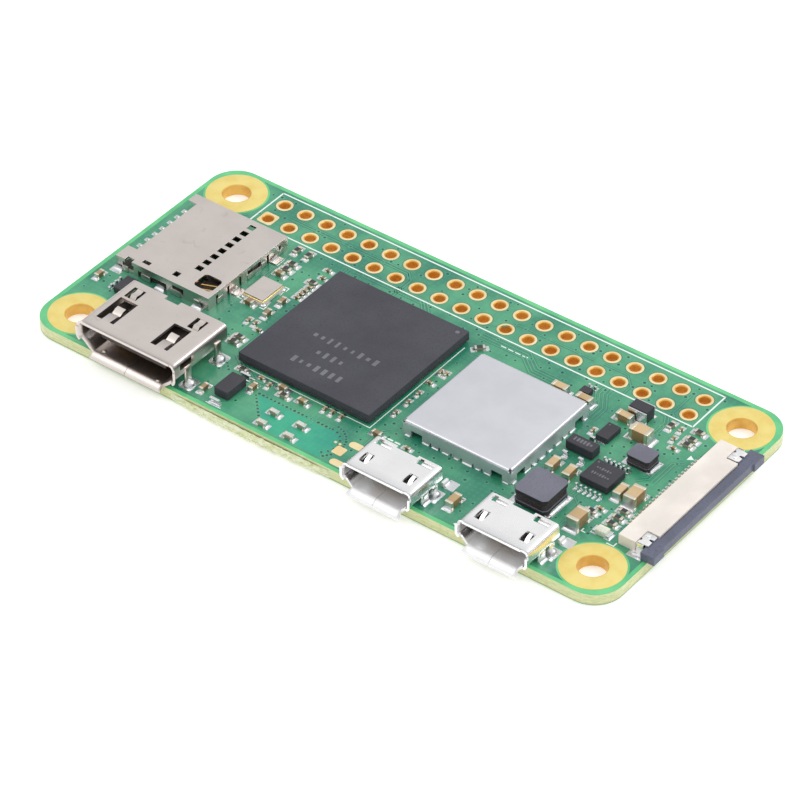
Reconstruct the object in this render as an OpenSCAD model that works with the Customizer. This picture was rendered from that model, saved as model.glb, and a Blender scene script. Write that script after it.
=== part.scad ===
// Credit-card-third single board computer: a four-layer board with a stacked
// processor package, a shielded radio, card, video, power and data sockets, and a
// camera ribbon socket with a sliding latch. X runs along the board, +Y towards
// the header holes, +Z up. The origin is the board's centre on its underside.

/* [Board] */
// Length of the board
board_l = 65; // [64:0.5:70]
// Width of the board
board_w = 30; // [30:0.5:34]
// Thickness of the laminate
board_t = 1.15; // [0.8:0.05:1.6]
// Radius of the board's corners
corner_r = 3; // [1:0.25:3.5]
// Distance of the mounting holes from both edges
hole_inset = 3.5; // [3.25:0.25:4]
// Diameter of the mounting holes
hole_d = 2.75; // [2.2:0.05:3]

/* [Header holes] */
// Spacing of the header holes
pin_pitch = 2.54; // [2:0.01:2.54]
// Number of header holes in each row
pin_columns = 20; // [10:1:20]
// Inside diameter of a plated header hole
pin_bore_d = 1; // [0.8:0.05:1.1]
// Outside diameter of a header pad
pin_pad_d = 1.7; // [1.4:0.05:1.8]

/* [Chips] */
// Side of the processor package
processor_w = 15; // [12:0.5:15]
// Height of the processor above the board
processor_h = 1.2; // [1:0.05:1.6]
// Side of the radio shield
shield_w = 11.9; // [10:0.1:11.9]
// Height of the radio shield above the board
shield_h = 1.65; // [1.4:0.05:2]

/* [Sockets] */
// Height of the video socket above the board
hdmi_h = 3.15; // [2.9:0.05:3.4]
// Width of the video socket
hdmi_w = 11.2; // [11:0.1:11.6]
// Height of a small power or data socket above the board
usb_h = 2.5; // [2.4:0.05:2.8]
// Width of a small power or data socket
usb_w = 7.4; // [7.2:0.1:7.6]
// Height of the card socket above the board
card_h = 1.45; // [1.4:0.05:1.8]
// Height of the camera socket above the board
camera_h = 1.15; // [1.1:0.05:1.4]
// How far the camera latch slides out
latch_travel = 1; // [0.6:0.1:1.2]

/* [Hidden] */

$fn = 48;
// Overshoot that keeps cuts from sharing a face with what they cut
over = 0.2;
// Sheet thickness of the shield and the sockets
shield_t = 0.2;
shell_t = 0.3;
card_t = 0.2;

// Header
pin_row_y = board_w / 2 - hole_inset;
plating_t = 0.05;
pad_t = 0.04;

// Plated slots that the socket legs stand in: length along Y, width along X
slot_l = 1.5;
slot_w = 0.75;
leg_t = 0.3;
leg_l = 1;
leg_gap = 0.1;

// Video socket: centre, front and back
hdmi_x = -20.15;
hdmi_front = -15.4;
hdmi_back = -7.6;
hdmi_knee = 1.45;
hdmi_sole = 0;
hdmi_floor_w = 8.2;
hdmi_leg_y = [-13.3, -9];
hdmi_leg_x = hdmi_w / 2;
hdmi_leg_top = 2;

// Small sockets: centres, front and back
usb_data_x = 8.9;
usb_power_x = 21.5;
usb_front = -16.05;
usb_back = -11.15;
usb_knee = 1.1;
usb_floor_w = 5.4;
usb_leg_x = usb_w / 2;
usb_leg_top = 1.6;
usb_leg_y = -12.2;

// Card socket
card_x = -25.25;
card_y = 1.8;
card_l = 11.1;
card_w = 11.8;
card_recess = 1.05;
card_recess_w = 8.8;
card_pitch = 1.1;
card_contact_count = 8;

// Camera socket: back of the housing, mouth of the housing, centre
camera_back = 29.05;
camera_mouth = 32.1;
camera_y = 0.1;
camera_l = 15.8;
camera_pitch = 0.5;
camera_contact_count = 22;
camera_slot_w = 11.7;
camera_slot_low = 0.35;
camera_slot_high = 0.85;
// Open pocket at each end of the housing, and the tunnel that goes on behind it
camera_pocket_x = 30.85;
camera_pocket_y = 6.05;
camera_tunnel_x = 30.15;
camera_tunnel_w = 1.35;
latch_out = 33.08;
latch_low = 0.05;
latch_high = 0.95;
latch_ear_out = 33.27;
latch_ear_in = 31.8;
latch_l = 17.1;
latch_ear_w = 1.55;
latch_shoulder_w = 2.35;
latch_run = 0.06;
// Depth of the latch's arms in the tunnels, clear of the back and held at full travel
latch_arm_x = camera_mouth - latch_travel - 0.8;
latch_arm_y = 6.7;

// Processor and radio
processor_at = [-5.3, -0.7];
ball_h = 0.25;
ball_pitch = 0.8;
ball_rows = 17;
substrate_t = 0.25;
shield_at = [11.15, -1.25];

// Larger parts: [x, y]
crystal_at = [-17.35, 1.05];
power_inductor_at = [20.3, -7.05];
buck_inductor_at = [24.65, 2.25];
filter_inductor_at = [20.9, 7.45];
power_ic_at = [23.15, -1.8];
regulator_at = [19.5, 0.35];
switch_ic_at = [20.05, 3.5];
diode_at = [-10.8, -11.85];
transistor_at = [15.13, 7.03];
esd_array_at = [-27.9, -6.15];
led_at = [27.25, -7.55];

// Chip sizes: [length, width, height, terminal length]
chip_0805 = [2, 1.25, 1.25, 0.4];
chip_0603 = [1.6, 0.8, 0.8, 0.3];
chip_0402 = [1, 0.5, 0.5, 0.22];
chip_0402_low = [1, 0.5, 0.35, 0.22];
chip_0201 = [0.6, 0.3, 0.3, 0.15];

// Places of the chips: [x, y, turn]
large_capacitors = [[22.65, 4.9, 0], [27.05, -2.45, 90], [24.75, -7.75, 90]];
medium_capacitors = [
    [20, 6.15, 0], [25.55, -2.4, 90], [18.65, -2.95, 90], [20.5, -3.05, 90],
    [13, 6, 0], [15.7, 5.95, 0], [14.6, -12.2, 90],
];
small_capacitors = [
    [-31.2, -6.1, 90], [-9.35, -10.4, 90], [-7.1, -8.85, 0], [-4.5, -9.3, 0],
    [-17.4, -1, 0], [-17.8, 4.05, 0], [-15, -1.3, 90], [-15, 0.9, 90],
    [-5.55, -12.05, 0], [-2.5, -12.05, 0], [-5.55, -13.85, 0], [-2.5, -13.85, 0],
    [-12.85, -13.1, 90], [3.6, -8.85, 0],
];
tiny_capacitors = [
    [-9.55, -8.85, 0], [-8.45, -9.25, 90], [-2.35, -8.85, 90], [-1.5, -8.85, 90],
    [-0.5, -8.85, 90], [-14.45, 7.2, 0], [-14.15, 6, 0], [-14.3, 4.15, 0],
    [-14.3, 3.5, 0], [-14.3, 2.9, 0], [-14.3, 2.3, 0], [-15.85, -3, 90],
    [-15.05, -3, 90], [-14.15, -3.6, 0], [2.85, 1.6, 90], [3.45, 1.6, 90],
    [3, -0.25, 0], [3.05, -2.05, 90], [3.05, -3.6, 90], [3.05, -5.45, 90],
    [25, 6.5, 90], [25.75, 5.45, 0], [24.85, 7.9, 90], [18.6, 3.15, 90],
    [6.9, -8.75, 0], [25.3, -5.05, 0],
];
resistors = [
    [-18.7, 7.85, 90], [-17.35, 7.85, 90], [-17.75, 5.95, 0], [-17.75, 5, 0],
    [-14.5, 4.85, 0], [-14.9, -5.45, 0], [-14.95, -6.3, 0], [-11.7, -8.9, 0],
    [-6.45, -9.6, 0], [3.65, 6.45, 45], [23.85, 7.85, 90], [26.45, 8.55, 0],
    [26.45, 7.35, 0], [26.45, 6.5, 0], [27.2, -4.2, 0], [27.2, -5.2, 0],
    [27.2, -6.15, 0], [24.85, -5.85, 0],
];

pcb_colour = "#69AF91";
latch_colour = "#696C7A";
cream_colour = "#F6F0EA";
gold_colour = "#F0C887";
steel_colour = "#C8C0BC";
tin_colour = "#E8E8EB";
black_colour = "#505058";
ferrite_colour = "#7D7D8A";
ceramic_colour = "#D7B487";

// ---- Helpers ----

// Points of an arc about c, from angle a to angle b
function arc(c, r, a, b, steps) =
    [for (i = [0:steps]) c + r * [cos(a + (b - a) * i / steps), sin(a + (b - a) * i / steps)]];

// A socket's outline in its own X and Z, rounded at the top and chamfered below
function socket_outline(w, floor_w, top, knee, low, r) = concat(
    arc([w / 2 - r, top - r], r, 0, 90, 6),
    arc([-w / 2 + r, top - r], r, 90, 180, 6),
    [[-w / 2, knee], [-floor_w / 2, low], [floor_w / 2, low], [w / 2, knee]]
);

module rounded_rect(l, w, r) {
    square([l - 2 * r, w], center = true);
    square([l, w - 2 * r], center = true);
    for (sx = [-1, 1], sy = [-1, 1])
        translate([sx * (l / 2 - r), sy * (w / 2 - r)]) circle(r);
}

// A slot with round ends, its long side along Y
module slot_2d(l, w) {
    square([w, l - w], center = true);
    for (s = [-1, 1]) translate([0, s * (l - w) / 2]) circle(d = w);
}

// A box that stands on z, centred in X and Y
module block(size, z = 0) {
    translate([-size[0] / 2, -size[1] / 2, z]) cube(size);
}

// An XZ outline drawn from the front face y0 to the back face y1
module along_y(y0, y1) {
    translate([0, y1, 0]) rotate([90, 0, 0]) linear_extrude(y1 - y0) children();
}

module on_board() {
    translate([0, 0, board_t]) children();
}

module at_places(places) {
    on_board() for (p = places) translate([p[0], p[1], 0]) rotate(p[2]) children();
}

// ---- Bare board ----

module leg_slots(l, w, z, h) {
    for (sx = [-1, 1], y = hdmi_leg_y)
        translate([hdmi_x + sx * hdmi_leg_x, y, z]) linear_extrude(h) slot_2d(l, w);
    for (x = [usb_data_x, usb_power_x], sx = [-1, 1])
        translate([x + sx * usb_leg_x, usb_leg_y, z]) linear_extrude(h) slot_2d(l, w);
}

module header_places() {
    for (i = [0:pin_columns - 1], row = [-1, 1])
        translate([(i - (pin_columns - 1) / 2) * pin_pitch, pin_row_y + row * pin_pitch / 2, 0])
            children();
}

module pcb() {
    barrel_d = pin_bore_d + 2 * plating_t;
    color(pcb_colour) difference() {
        linear_extrude(board_t) rounded_rect(board_l, board_w, corner_r);
        for (sx = [-1, 1], sy = [-1, 1])
            translate([sx * (board_l / 2 - hole_inset), sy * (board_w / 2 - hole_inset), -over])
                cylinder(d = hole_d, h = board_t + 2 * over);
        header_places() {
            translate([0, 0, -over]) cylinder(d = barrel_d, h = board_t + 2 * over);
            translate([0, 0, -over]) cylinder(d = pin_pad_d, h = pad_t + over);
            translate([0, 0, board_t - pad_t]) cylinder(d = pin_pad_d, h = pad_t + over);
        }
        leg_slots(slot_l, slot_w, -over, board_t + 2 * over);
    }
}

// One plated hole: barrel and both pads as one turned piece
module plated_hole() {
    bore_r = pin_bore_d / 2;
    barrel_r = bore_r + plating_t;
    pad_r = pin_pad_d / 2;
    rotate_extrude() polygon([
        [bore_r, 0], [pad_r, 0], [pad_r, pad_t], [barrel_r, pad_t],
        [barrel_r, board_t - pad_t], [pad_r, board_t - pad_t], [pad_r, board_t], [bore_r, board_t],
    ]);
}

module header_plated_holes() {
    color(gold_colour) header_places() plated_hole();
}

module leg_slot_plating() {
    color(tin_colour) difference() {
        leg_slots(slot_l, slot_w, 0, board_t);
        leg_slots(slot_l - 2 * plating_t, slot_w - 2 * plating_t, -over, board_t + 2 * over);
    }
}

// ---- Processor ----

module processor_substrate() {
    color("#3F5F50") on_board() translate(processor_at)
        block([processor_w, processor_w, substrate_t], ball_h);
}

module processor_cap() {
    cap_z = ball_h + substrate_t;
    color(black_colour) on_board() translate(processor_at)
        block([processor_w, processor_w, processor_h - cap_z], cap_z);
}

// The outer ring of the ball grid, which carries the package
module processor_solder_balls() {
    last = ball_rows - 1;
    color(tin_colour) on_board() translate(processor_at)
        for (i = [0:last], j = [0:last])
            if (i == 0 || j == 0 || i == last || j == last)
                translate([(i - last / 2) * ball_pitch, (j - last / 2) * ball_pitch, 0])
                    cylinder(d = 0.4, h = ball_h);
}

// ---- Radio ----

module radio_shield_can() {
    window_h = 0.65;
    window_l = 1.15;
    reach = shield_w / 2 - 1.6;
    foot_gap = 0.12;
    color(steel_colour) on_board() translate(shield_at) difference() {
        block([shield_w, shield_w, shield_h]);
        block([shield_w - 2 * shield_t, shield_w - 2 * shield_t, shield_h - shield_t + over], -over);
        // Hand soldering windows near the corners
        for (turn = [0:90:270], s = [-1, 1]) rotate(turn)
            translate([s * reach, -shield_w / 2, 0])
                block([window_l, 4 * shield_t, window_h + over], -over);
        // Notches between the soldered feet
        for (turn = [0:90:270], s = [-1.5:1:1.5]) rotate(turn)
            translate([s * 1.9, -shield_w / 2, 0])
                block([0.5, 4 * shield_t, foot_gap + over], -over);
    }
}

module radio_chip() {
    color(black_colour) on_board() translate(shield_at + [-1, 0.6]) block([5, 5, 0.85]);
}

module radio_passives() {
    color(ceramic_colour) on_board() translate(shield_at)
        for (i = [0:5]) {
            translate([3.3, -3.4 + 1.3 * i, 0]) block([1, 0.5, 0.5]);
            translate([-4.2 + 1.3 * i, -4, 0]) block([0.5, 1, 0.5]);
        }
}

// ---- Card socket: the card goes in from -X ----

module card_socket_shell() {
    inner_w = card_w - 2 * card_t;
    window_x = 2;
    color(steel_colour) on_board() translate([card_x, card_y, 0]) difference() {
        union() {
            difference() {
                block([card_l, card_w, card_h]);
                // The hollow, open towards the card
                translate([-card_t, 0, 0])
                    block([card_l, inner_w, card_h - card_t + over], -over);
            }
            // Soldered side tabs
            for (y = [3.75, -2.1])
                translate([card_l / 2 + 0.3, y, 0]) block([0.85, 1.15, 0.15]);
        }
        // Finger recess in the card edge
        translate([-card_l / 2, 0.3, card_h - card_t - over])
            block([2 * card_recess, card_recess_w, card_t + 2 * over]);
        // Windows over the contact springs
        for (i = [0:card_contact_count - 1])
            translate([window_x, (i - 3.5) * card_pitch + 1.05, card_h - card_t - over])
                block([0.75, 0.65, card_t + 2 * over]);
        // Round cornered window over the card detect springs
        translate([4.05, -4.05, card_h - card_t - over])
            linear_extrude(card_t + 2 * over) rounded_rect(2.1, 2, 0.45);
        // Punched marks
        translate([-2.45, -5.1, card_h - card_t - over]) block([0.85, 0.45, card_t + 2 * over]);
        translate([-4.05, -5.7, card_h - 2 * card_t]) block([0.8, 0.6, 3 * card_t]);
        translate([0.85, -4.75, card_h - card_t - over]) block([0.65, 0.65, card_t + 2 * over]);
        // Side wall openings
        for (x = [-4.1, 1.9]) translate([x, -card_w / 2, 0]) block([1.3, 4 * card_t, 0.7], 0.35);
        translate([-1.2, -card_w / 2, 0]) block([3.4, 4 * card_t, 0.75 + over], -over);
        for (x = [-2.8, 2]) translate([x, card_w / 2, 0]) block([2.6, 4 * card_t, 0.75 + over], -over);
        // Rear wall openings beside the tabs
        for (y = [4.7, 2.9, -1.2, -2.95, -4.6])
            translate([card_l / 2, y, 0]) block([3 * card_t, 0.3, card_h - 0.35 + over], -over);
        translate([card_l / 2, 0.9, 0]) block([3 * card_t, 2, 0.6], 0.45);
    }
}

// Floor under the card, a back wall and a raised seat for the card detect switch
module card_socket_base() {
    inner_w = card_w - 2 * card_t - 0.1;
    floor_t = 0.3;
    floor_l = 10.5;
    wall_t = 0.45;
    seat = [2.4, 2.4, 0.6];
    color(black_colour) on_board() translate([card_x, card_y, 0]) difference() {
        union() {
            translate([0.05, 0, 0]) block([floor_l, inner_w, floor_t]);
            translate([0.05 + (floor_l - wall_t) / 2, 0, 0])
                block([wall_t, inner_w, card_h - card_t - 0.05]);
            translate([4.05, -4.05, 0]) block(seat);
        }
        // Contact slots, open at the front edge
        for (i = [0:card_contact_count - 1])
            translate([-1.4, (i - 3.5) * card_pitch + 1.05, 0])
                block([8.9, 0.55, 4 * floor_t], -over);
    }
}

// Cantilever springs: a soldered tail, a ramp and a bowed tip
module card_socket_contacts() {
    wire = 0.12;
    color(gold_colour) on_board() translate([card_x, card_y, 0])
        for (i = [0:card_contact_count - 1])
            translate([0, (i - 3.5) * card_pitch + 1.05 + 0.175, 0])
                rotate([90, 0, 0]) linear_extrude(0.35) polygon([
                    [-5.65, 0], [-4.2, 0], [2.2, 0.72], [2.7, 0.62], [2.7, 0.62 + wire],
                    [2.15, 0.76 + wire], [-4.25, wire], [-5.65, wire],
                ]);
}

module card_detect_springs() {
    color(gold_colour) on_board() translate([card_x + 4.05, card_y - 4.05, 0])
        for (y = [-0.45, 0.3])
            translate([-0.05, y, 0.8]) rotate(22) block([1.7, 0.16, 0.14]);
}

// ---- Video socket ----

module hdmi_outline(inset) {
    polygon(socket_outline(
        hdmi_w - 2 * inset, hdmi_floor_w - inset, hdmi_h - inset,
        hdmi_knee + inset / 2, hdmi_sole + inset, 0.5
    ));
}

// A leg that leaves the side wall at top and stands in its slot in the board
module socket_leg(x, y, top) {
    low = leg_gap - board_t;
    translate([x, y, 0]) block([leg_t, leg_l, top - low], low);
}

module hdmi_shell() {
    lip_w = 7.6;
    color(steel_colour) on_board() translate([hdmi_x, 0, 0]) {
        difference() {
            along_y(hdmi_front, hdmi_back) hdmi_outline(0);
            along_y(hdmi_front - over, hdmi_back + over) hdmi_outline(shell_t);
            // Windows of the two front springs and the two rear springs
            for (s = [-1, 1]) {
                translate([s * 3.15, hdmi_front + 3.3, hdmi_h - 1]) block([2.05, 3.5, 1 + over]);
                translate([s * 3.58, hdmi_front + 6.25, hdmi_h - 1]) block([1.65, 1.35, 1 + over]);
                // Side windows at the bend
                translate([s * hdmi_w / 2, hdmi_front + 2.1, hdmi_h - 0.75])
                    block([0.9, 1.9, 1]);
            }
            // Rear notch
            translate([-0.1, hdmi_back, hdmi_h - 1]) block([1.6, 1.8, 1 + over]);
        }
        // Springs cut out of the top sheet
        for (s = [-1, 1]) {
            translate([s * 3.15, hdmi_front + 1.5, hdmi_h - shell_t])
                rotate([-9, 0, 0]) translate([-0.5, 0, 0]) cube([1, 2.4, 0.2]);
            translate([s * 3.58, hdmi_back - 0.82, hdmi_h - shell_t])
                rotate([8, 0, 0]) translate([-0.38, -1.1, 0]) cube([0.76, 1.1, 0.2]);
        }
        // Bottom lip, bent down over the edge of the board
        translate([-lip_w / 2, hdmi_front, 0]) rotate([38, 0, 0])
            translate([0, -0.55, 0]) cube([lip_w, 0.6, 0.22]);
        // Top lip, bent up
        translate([-hdmi_w / 2 + 0.7, hdmi_front, hdmi_h - shell_t]) rotate([-18, 0, 0])
            translate([0, -0.3, 0]) cube([hdmi_w - 1.4, 0.4, shell_t]);
        // Legs
        for (s = [-1, 1], y = hdmi_leg_y) socket_leg(s * hdmi_leg_x, y, hdmi_leg_top);
    }
}

module hdmi_insulator() {
    back_t = 1.5;
    color(black_colour) on_board() translate([hdmi_x, 0, 0]) difference() {
        union() {
            // Rear block
            along_y(hdmi_back - back_t, hdmi_back - 0.1) hdmi_outline(shell_t + 0.28);
            // Tongue
            translate([0, (hdmi_front + 1.2 + hdmi_back - back_t) / 2, 0])
                block([7.6, hdmi_back - back_t - hdmi_front - 1.2, 0.75], 1.35);
        }
        for (i = [-9:9]) translate([i * 0.4, hdmi_back - 3, 0]) block([0.24, 6.2, 0.12], 1.3);
    }
}

module hdmi_contacts() {
    color(gold_colour) on_board() translate([hdmi_x, 0, 0])
        for (i = [-9:9]) translate([i * 0.4, 0, 0]) {
            translate([0, hdmi_back - 3.05, 0]) block([0.2, 5.2, 0.1], 1.31);
            translate([0, hdmi_back + 0.25, 0]) block([0.2, 0.7, 0.12]);
        }
}

// ---- Small sockets ----

module usb_outline(inset) {
    polygon(socket_outline(
        usb_w - 2 * inset, usb_floor_w - inset, usb_h - inset,
        usb_knee + inset / 2, inset, 0.45
    ));
}

module usb_shell(x) {
    top_z = usb_h - shell_t;
    lip_w = usb_w - 1.2;
    color(tin_colour) on_board() translate([x, 0, 0]) {
        difference() {
            along_y(usb_front + 0.35, usb_back) usb_outline(0);
            along_y(usb_front - over, usb_back + over) usb_outline(shell_t);
            for (s = [-1, 1]) {
                // Windows of the latch springs
                translate([s * 2.4, usb_back - 2.9, top_z - over])
                    block([0.75, 1.35, shell_t + 2 * over]);
                // Slots of the rear ears
                translate([s * 2.2, usb_back - 0.45, top_z - over])
                    block([1.55, 0.5, shell_t + 2 * over]);
            }
            translate([0, usb_back, top_z - over]) block([2.1, 0.5, shell_t + 2 * over]);
        }
        // Rear ears, curled up behind the slots
        for (s = [-1, 1]) translate([s * 2.2, usb_back - 0.6, top_z + 0.02])
            rotate([-14, 0, 0]) block([1.2, 0.55, 0.2]);
        // Latch springs
        for (s = [-1, 1]) translate([s * 2.4, usb_back - 3.7, top_z])
            rotate([-12, 0, 0]) translate([-0.25, 0, 0]) cube([0.5, 1, 0.2]);
        // Flared mouth: top and bottom lips
        translate([-lip_w / 2, usb_front + 0.4, top_z]) rotate([-20, 0, 0])
            translate([0, -0.5, 0]) cube([lip_w, 0.55, shell_t]);
        translate([-usb_floor_w / 2, usb_front + 0.4, 0]) rotate([14, 0, 0])
            translate([0, -0.5, 0]) cube([usb_floor_w, 0.55, 0.25]);
        for (s = [-1, 1]) translate([s * (usb_w / 2 - shell_t / 2), usb_front + 0.4, usb_knee + 0.1])
            rotate([0, 0, s * 16]) translate([-shell_t / 2, -0.45, 0]) cube([shell_t, 0.5, 0.9]);
        for (s = [-1, 1]) socket_leg(s * usb_leg_x, usb_leg_y, usb_leg_top);
    }
}

module usb_insulator(x) {
    back_t = 1.3;
    color(black_colour) on_board() translate([x, 0, 0]) {
        along_y(usb_back - back_t, usb_back - 0.8) usb_outline(shell_t + 0.2);
        translate([0, (usb_front + 1.1 + usb_back - back_t) / 2, 0])
            block([3.8, usb_back - back_t - usb_front - 1.1, 0.55], 1.35);
    }
}

module usb_contacts(x) {
    color(gold_colour) on_board() translate([x, 0, 0])
        for (i = [-2:2]) translate([i * 0.65, 0, 0]) {
            translate([0, usb_back - 2.55, 0]) block([0.35, 2.3, 0.1], 1.25);
            translate([0, usb_back + 0.35, 0]) block([0.35, 0.6, 0.15]);
        }
}

// ---- Camera ribbon socket: the ribbon goes in from +X ----

module camera_contact_places() {
    for (i = [0:camera_contact_count - 1])
        translate([0, camera_y + (i - (camera_contact_count - 1) / 2) * camera_pitch, 0])
            children();
}

module camera_housing() {
    depth = camera_mouth - camera_back;
    color(cream_colour) on_board() difference() {
        translate([(camera_back + camera_mouth) / 2, camera_y, 0])
            block([depth, camera_l, camera_h]);
        // Mouth for the ribbon and the latch blade
        translate([camera_back + 0.8 + depth / 2, camera_y, 0])
            block([depth, camera_slot_w, camera_slot_high - camera_slot_low], camera_slot_low);
        for (s = [-1, 1]) {
            // Open pocket under the anchor plate
            translate([camera_pocket_x + depth / 2, camera_y + s * (camera_pocket_y + 1), 0])
                block([depth, 2, camera_h + 2 * over], -over);
            // Tunnel for the latch arm
            translate([camera_tunnel_x + depth / 2, camera_y, 0])
                translate([0, s * (camera_pocket_y + camera_tunnel_w / 2), 0])
                    block([depth, camera_tunnel_w, 0.75], 0.2);
        }
        camera_contact_places() translate([camera_back + 0.9, 0, 0])
            block([4, 0.24, 0.14 + over], -over);
        camera_contact_places() translate([camera_back + 0.95, 0, 0])
            block([0.5, 0.24, 0.5 + over], -over);
    }
}

// Foot on the board, riser, and a spring arm under the ribbon
module camera_contacts() {
    color(gold_colour) on_board() camera_contact_places()
        translate([0, 0.1, 0]) rotate([90, 0, 0]) linear_extrude(0.2) polygon([
            [camera_back - 0.75, 0], [camera_back + 0.9, 0], [camera_back + 0.9, 0.37],
            [camera_back + 2.2, 0.42], [camera_back + 2.2, 0.5], [camera_back + 0.82, 0.45],
            [camera_back + 0.75, 0.12], [camera_back - 0.75, 0.12],
        ]);
}

// Plate over the pocket, a leg down the end of the housing and a soldered foot
module camera_anchors() {
    t = 0.15;
    plate_l = 1.15;
    plate_w = 1.7;
    end_y = camera_l / 2;
    foot_w = 0.6;
    color(steel_colour) on_board() for (s = [-1, 1])
        translate([camera_pocket_x + plate_l / 2 + 0.05, camera_y, 0]) {
            translate([0, s * (end_y - plate_w / 2), 0]) block([plate_l, plate_w, t], camera_h - t);
            translate([-0.2, s * (end_y - t / 2), 0]) block([plate_l - 0.4, t, camera_h]);
            translate([-0.3, s * (end_y + foot_w / 2 - t), 0]) block([plate_l, foot_w, t]);
        }
}

module camera_latch() {
    bar_in = camera_mouth + latch_run;
    bar_mid = (bar_in + latch_out) / 2;
    bar_h = latch_high - latch_low;
    blade_in = camera_back + 2.35;
    blade_z = 0.58;
    color(latch_colour) on_board() translate([0, camera_y, 0]) {
        translate([bar_mid, 0, 0])
            block([latch_out - bar_in, latch_l - 2 * latch_ear_w + 0.4, bar_h], latch_low);
        for (s = [-1, 1]) {
            translate([(bar_in + latch_ear_out) / 2, s * (latch_l - latch_ear_w) / 2, 0])
                block([latch_ear_out - bar_in, latch_ear_w, bar_h], latch_low);
            // Shoulder that goes in under the anchor plate
            translate([(latch_ear_in + bar_mid) / 2, s * (latch_l - latch_shoulder_w) / 2, 0])
                block([bar_mid - latch_ear_in, latch_shoulder_w, bar_h], latch_low);
            // Arm that runs in the tunnel at this end of the housing
            translate([(latch_arm_x + bar_in) / 2, s * latch_arm_y, 0])
                block([bar_in - latch_arm_x + 0.1, 0.8, 0.5], 0.3);
        }
        // Wedge blade that presses the ribbon on its contacts
        translate([(blade_in + bar_in) / 2, 0, 0])
            block([bar_in - blade_in + 0.1, camera_slot_w - 0.3, 0.2], blade_z);
    }
}

// ---- Crystal ----

module crystal_base() {
    color(cream_colour) on_board() translate(crystal_at) block([2.5, 3.2, 0.35]);
}

module crystal_lid() {
    color(steel_colour) on_board() translate(crystal_at) block([2.3, 3, 0.25], 0.35);
}

// ---- Inductors: a drum core, its winding and two end pads ----

terminal_t = 0.1;

module drum_flange(w, d, z, h) {
    c = w * 0.1;
    translate([0, 0, z]) linear_extrude(h) polygon([
        [w / 2 - c, -d / 2], [w / 2, -d / 2 + c], [w / 2, d / 2 - c], [w / 2 - c, d / 2],
        [-w / 2 + c, d / 2], [-w / 2, d / 2 - c], [-w / 2, -d / 2 + c], [-w / 2 + c, -d / 2],
    ]);
}

module drum_core(w, d, h, flange) {
    drum_flange(w, d, terminal_t, flange);
    block([w * 0.5, d * 0.5, h - 2 * flange - terminal_t], terminal_t + flange);
    drum_flange(w, d, h - flange, flange);
}

module drum_winding(w, d, h, flange) {
    difference() {
        drum_flange(w * 0.96, d * 0.96, terminal_t + flange, h - 2 * flange - terminal_t);
        block([w * 0.5, d * 0.5, h]);
    }
}

module drum_terminals(w, d, pad_l) {
    for (s = [-1, 1]) translate([s * (w - pad_l) / 2, 0, 0]) block([pad_l, d * 0.9, terminal_t]);
}

module power_inductor_core() {
    color(ferrite_colour) on_board() translate(power_inductor_at) drum_core(3.6, 3.7, 1.7, 0.4);
}

module power_inductor_winding() {
    color(black_colour) on_board() translate(power_inductor_at) drum_winding(3.6, 3.7, 1.7, 0.4);
}

module power_inductor_terminals() {
    color(tin_colour) on_board() translate(power_inductor_at) drum_terminals(4, 3.7, 1);
}

module buck_inductor_core() {
    color(ferrite_colour) on_board() translate(buck_inductor_at) drum_core(2.45, 2, 1.2, 0.3);
}

module buck_inductor_winding() {
    color(black_colour) on_board() translate(buck_inductor_at) drum_winding(2.45, 2, 1.2, 0.3);
}

module buck_inductor_terminals() {
    color(tin_colour) on_board() translate(buck_inductor_at) drum_terminals(2.8, 2, 0.7);
}

module filter_inductor_body() {
    color(black_colour) on_board() translate(filter_inductor_at) block([1.96, 1.2, 1.3]);
}

module filter_inductor_terminals() {
    color(tin_colour) on_board() translate(filter_inductor_at)
        for (s = [-1, 1]) translate([0, s * 0.69, 0]) block([1.96, 0.18, 1.2]);
}

// ---- Leaded parts ----

// A gull wing lead: its foot points to -Y and ends at y = 0
module gull_lead(w, reach, foot, rise) {
    t = 0.15;
    translate([w / 2, 0, 0]) rotate([90, 0, -90]) linear_extrude(w) polygon([
        [0, 0], [foot, 0], [foot + 0.1, rise], [reach, rise],
        [reach, rise + t], [foot - 0.05, rise + t], [foot - 0.15, t], [0, t],
    ]);
}

// Leads along the front and back of a body of depth d
module lead_rows(d, reach, w, rise, front, back) {
    for (x = front) translate([x, -d / 2 - reach, 0]) gull_lead(w, reach, reach * 0.55, rise);
    for (x = back) rotate(180) translate([-x, -d / 2 - reach, 0])
        gull_lead(w, reach, reach * 0.55, rise);
}

module power_ic_body() {
    color(black_colour) on_board() translate(power_ic_at) block([3, 2.85, 0.75], 0.1);
}

module power_ic_leads() {
    pins = [for (i = [0:5]) (i - 2.5) * 0.5];
    color(tin_colour) on_board() translate(power_ic_at)
        lead_rows(2.85, 0.45, 0.22, 0.45, pins, pins);
}

module regulator_body() {
    color(black_colour) on_board() translate(regulator_at) block([2.9, 1.3, 1], 0.1);
}

module regulator_leads() {
    color(tin_colour) on_board() translate(regulator_at)
        lead_rows(1.3, 0.5, 0.5, 0.58, [-0.85, 0.85], [0]);
}

module switch_ic_body() {
    color(black_colour) on_board() translate(switch_ic_at) block([1.3, 2.1, 0.55], 0.05);
}

module switch_ic_terminals() {
    color(tin_colour) on_board() translate(switch_ic_at)
        for (s = [-1, 1]) translate([0, s * 0.8, 0]) block([0.7, 0.75, 0.05]);
}

module diode_body() {
    color(black_colour) on_board() translate(diode_at) block([1.6, 2.7, 0.95], 0.1);
}

module diode_leads() {
    color(tin_colour) on_board() translate(diode_at)
        lead_rows(2.7, 0.5, 1.1, 0.45, [0], [0]);
}

module transistor_body() {
    color(black_colour) on_board() translate(transistor_at) block([1, 0.85, 0.55], 0.05);
}

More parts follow.
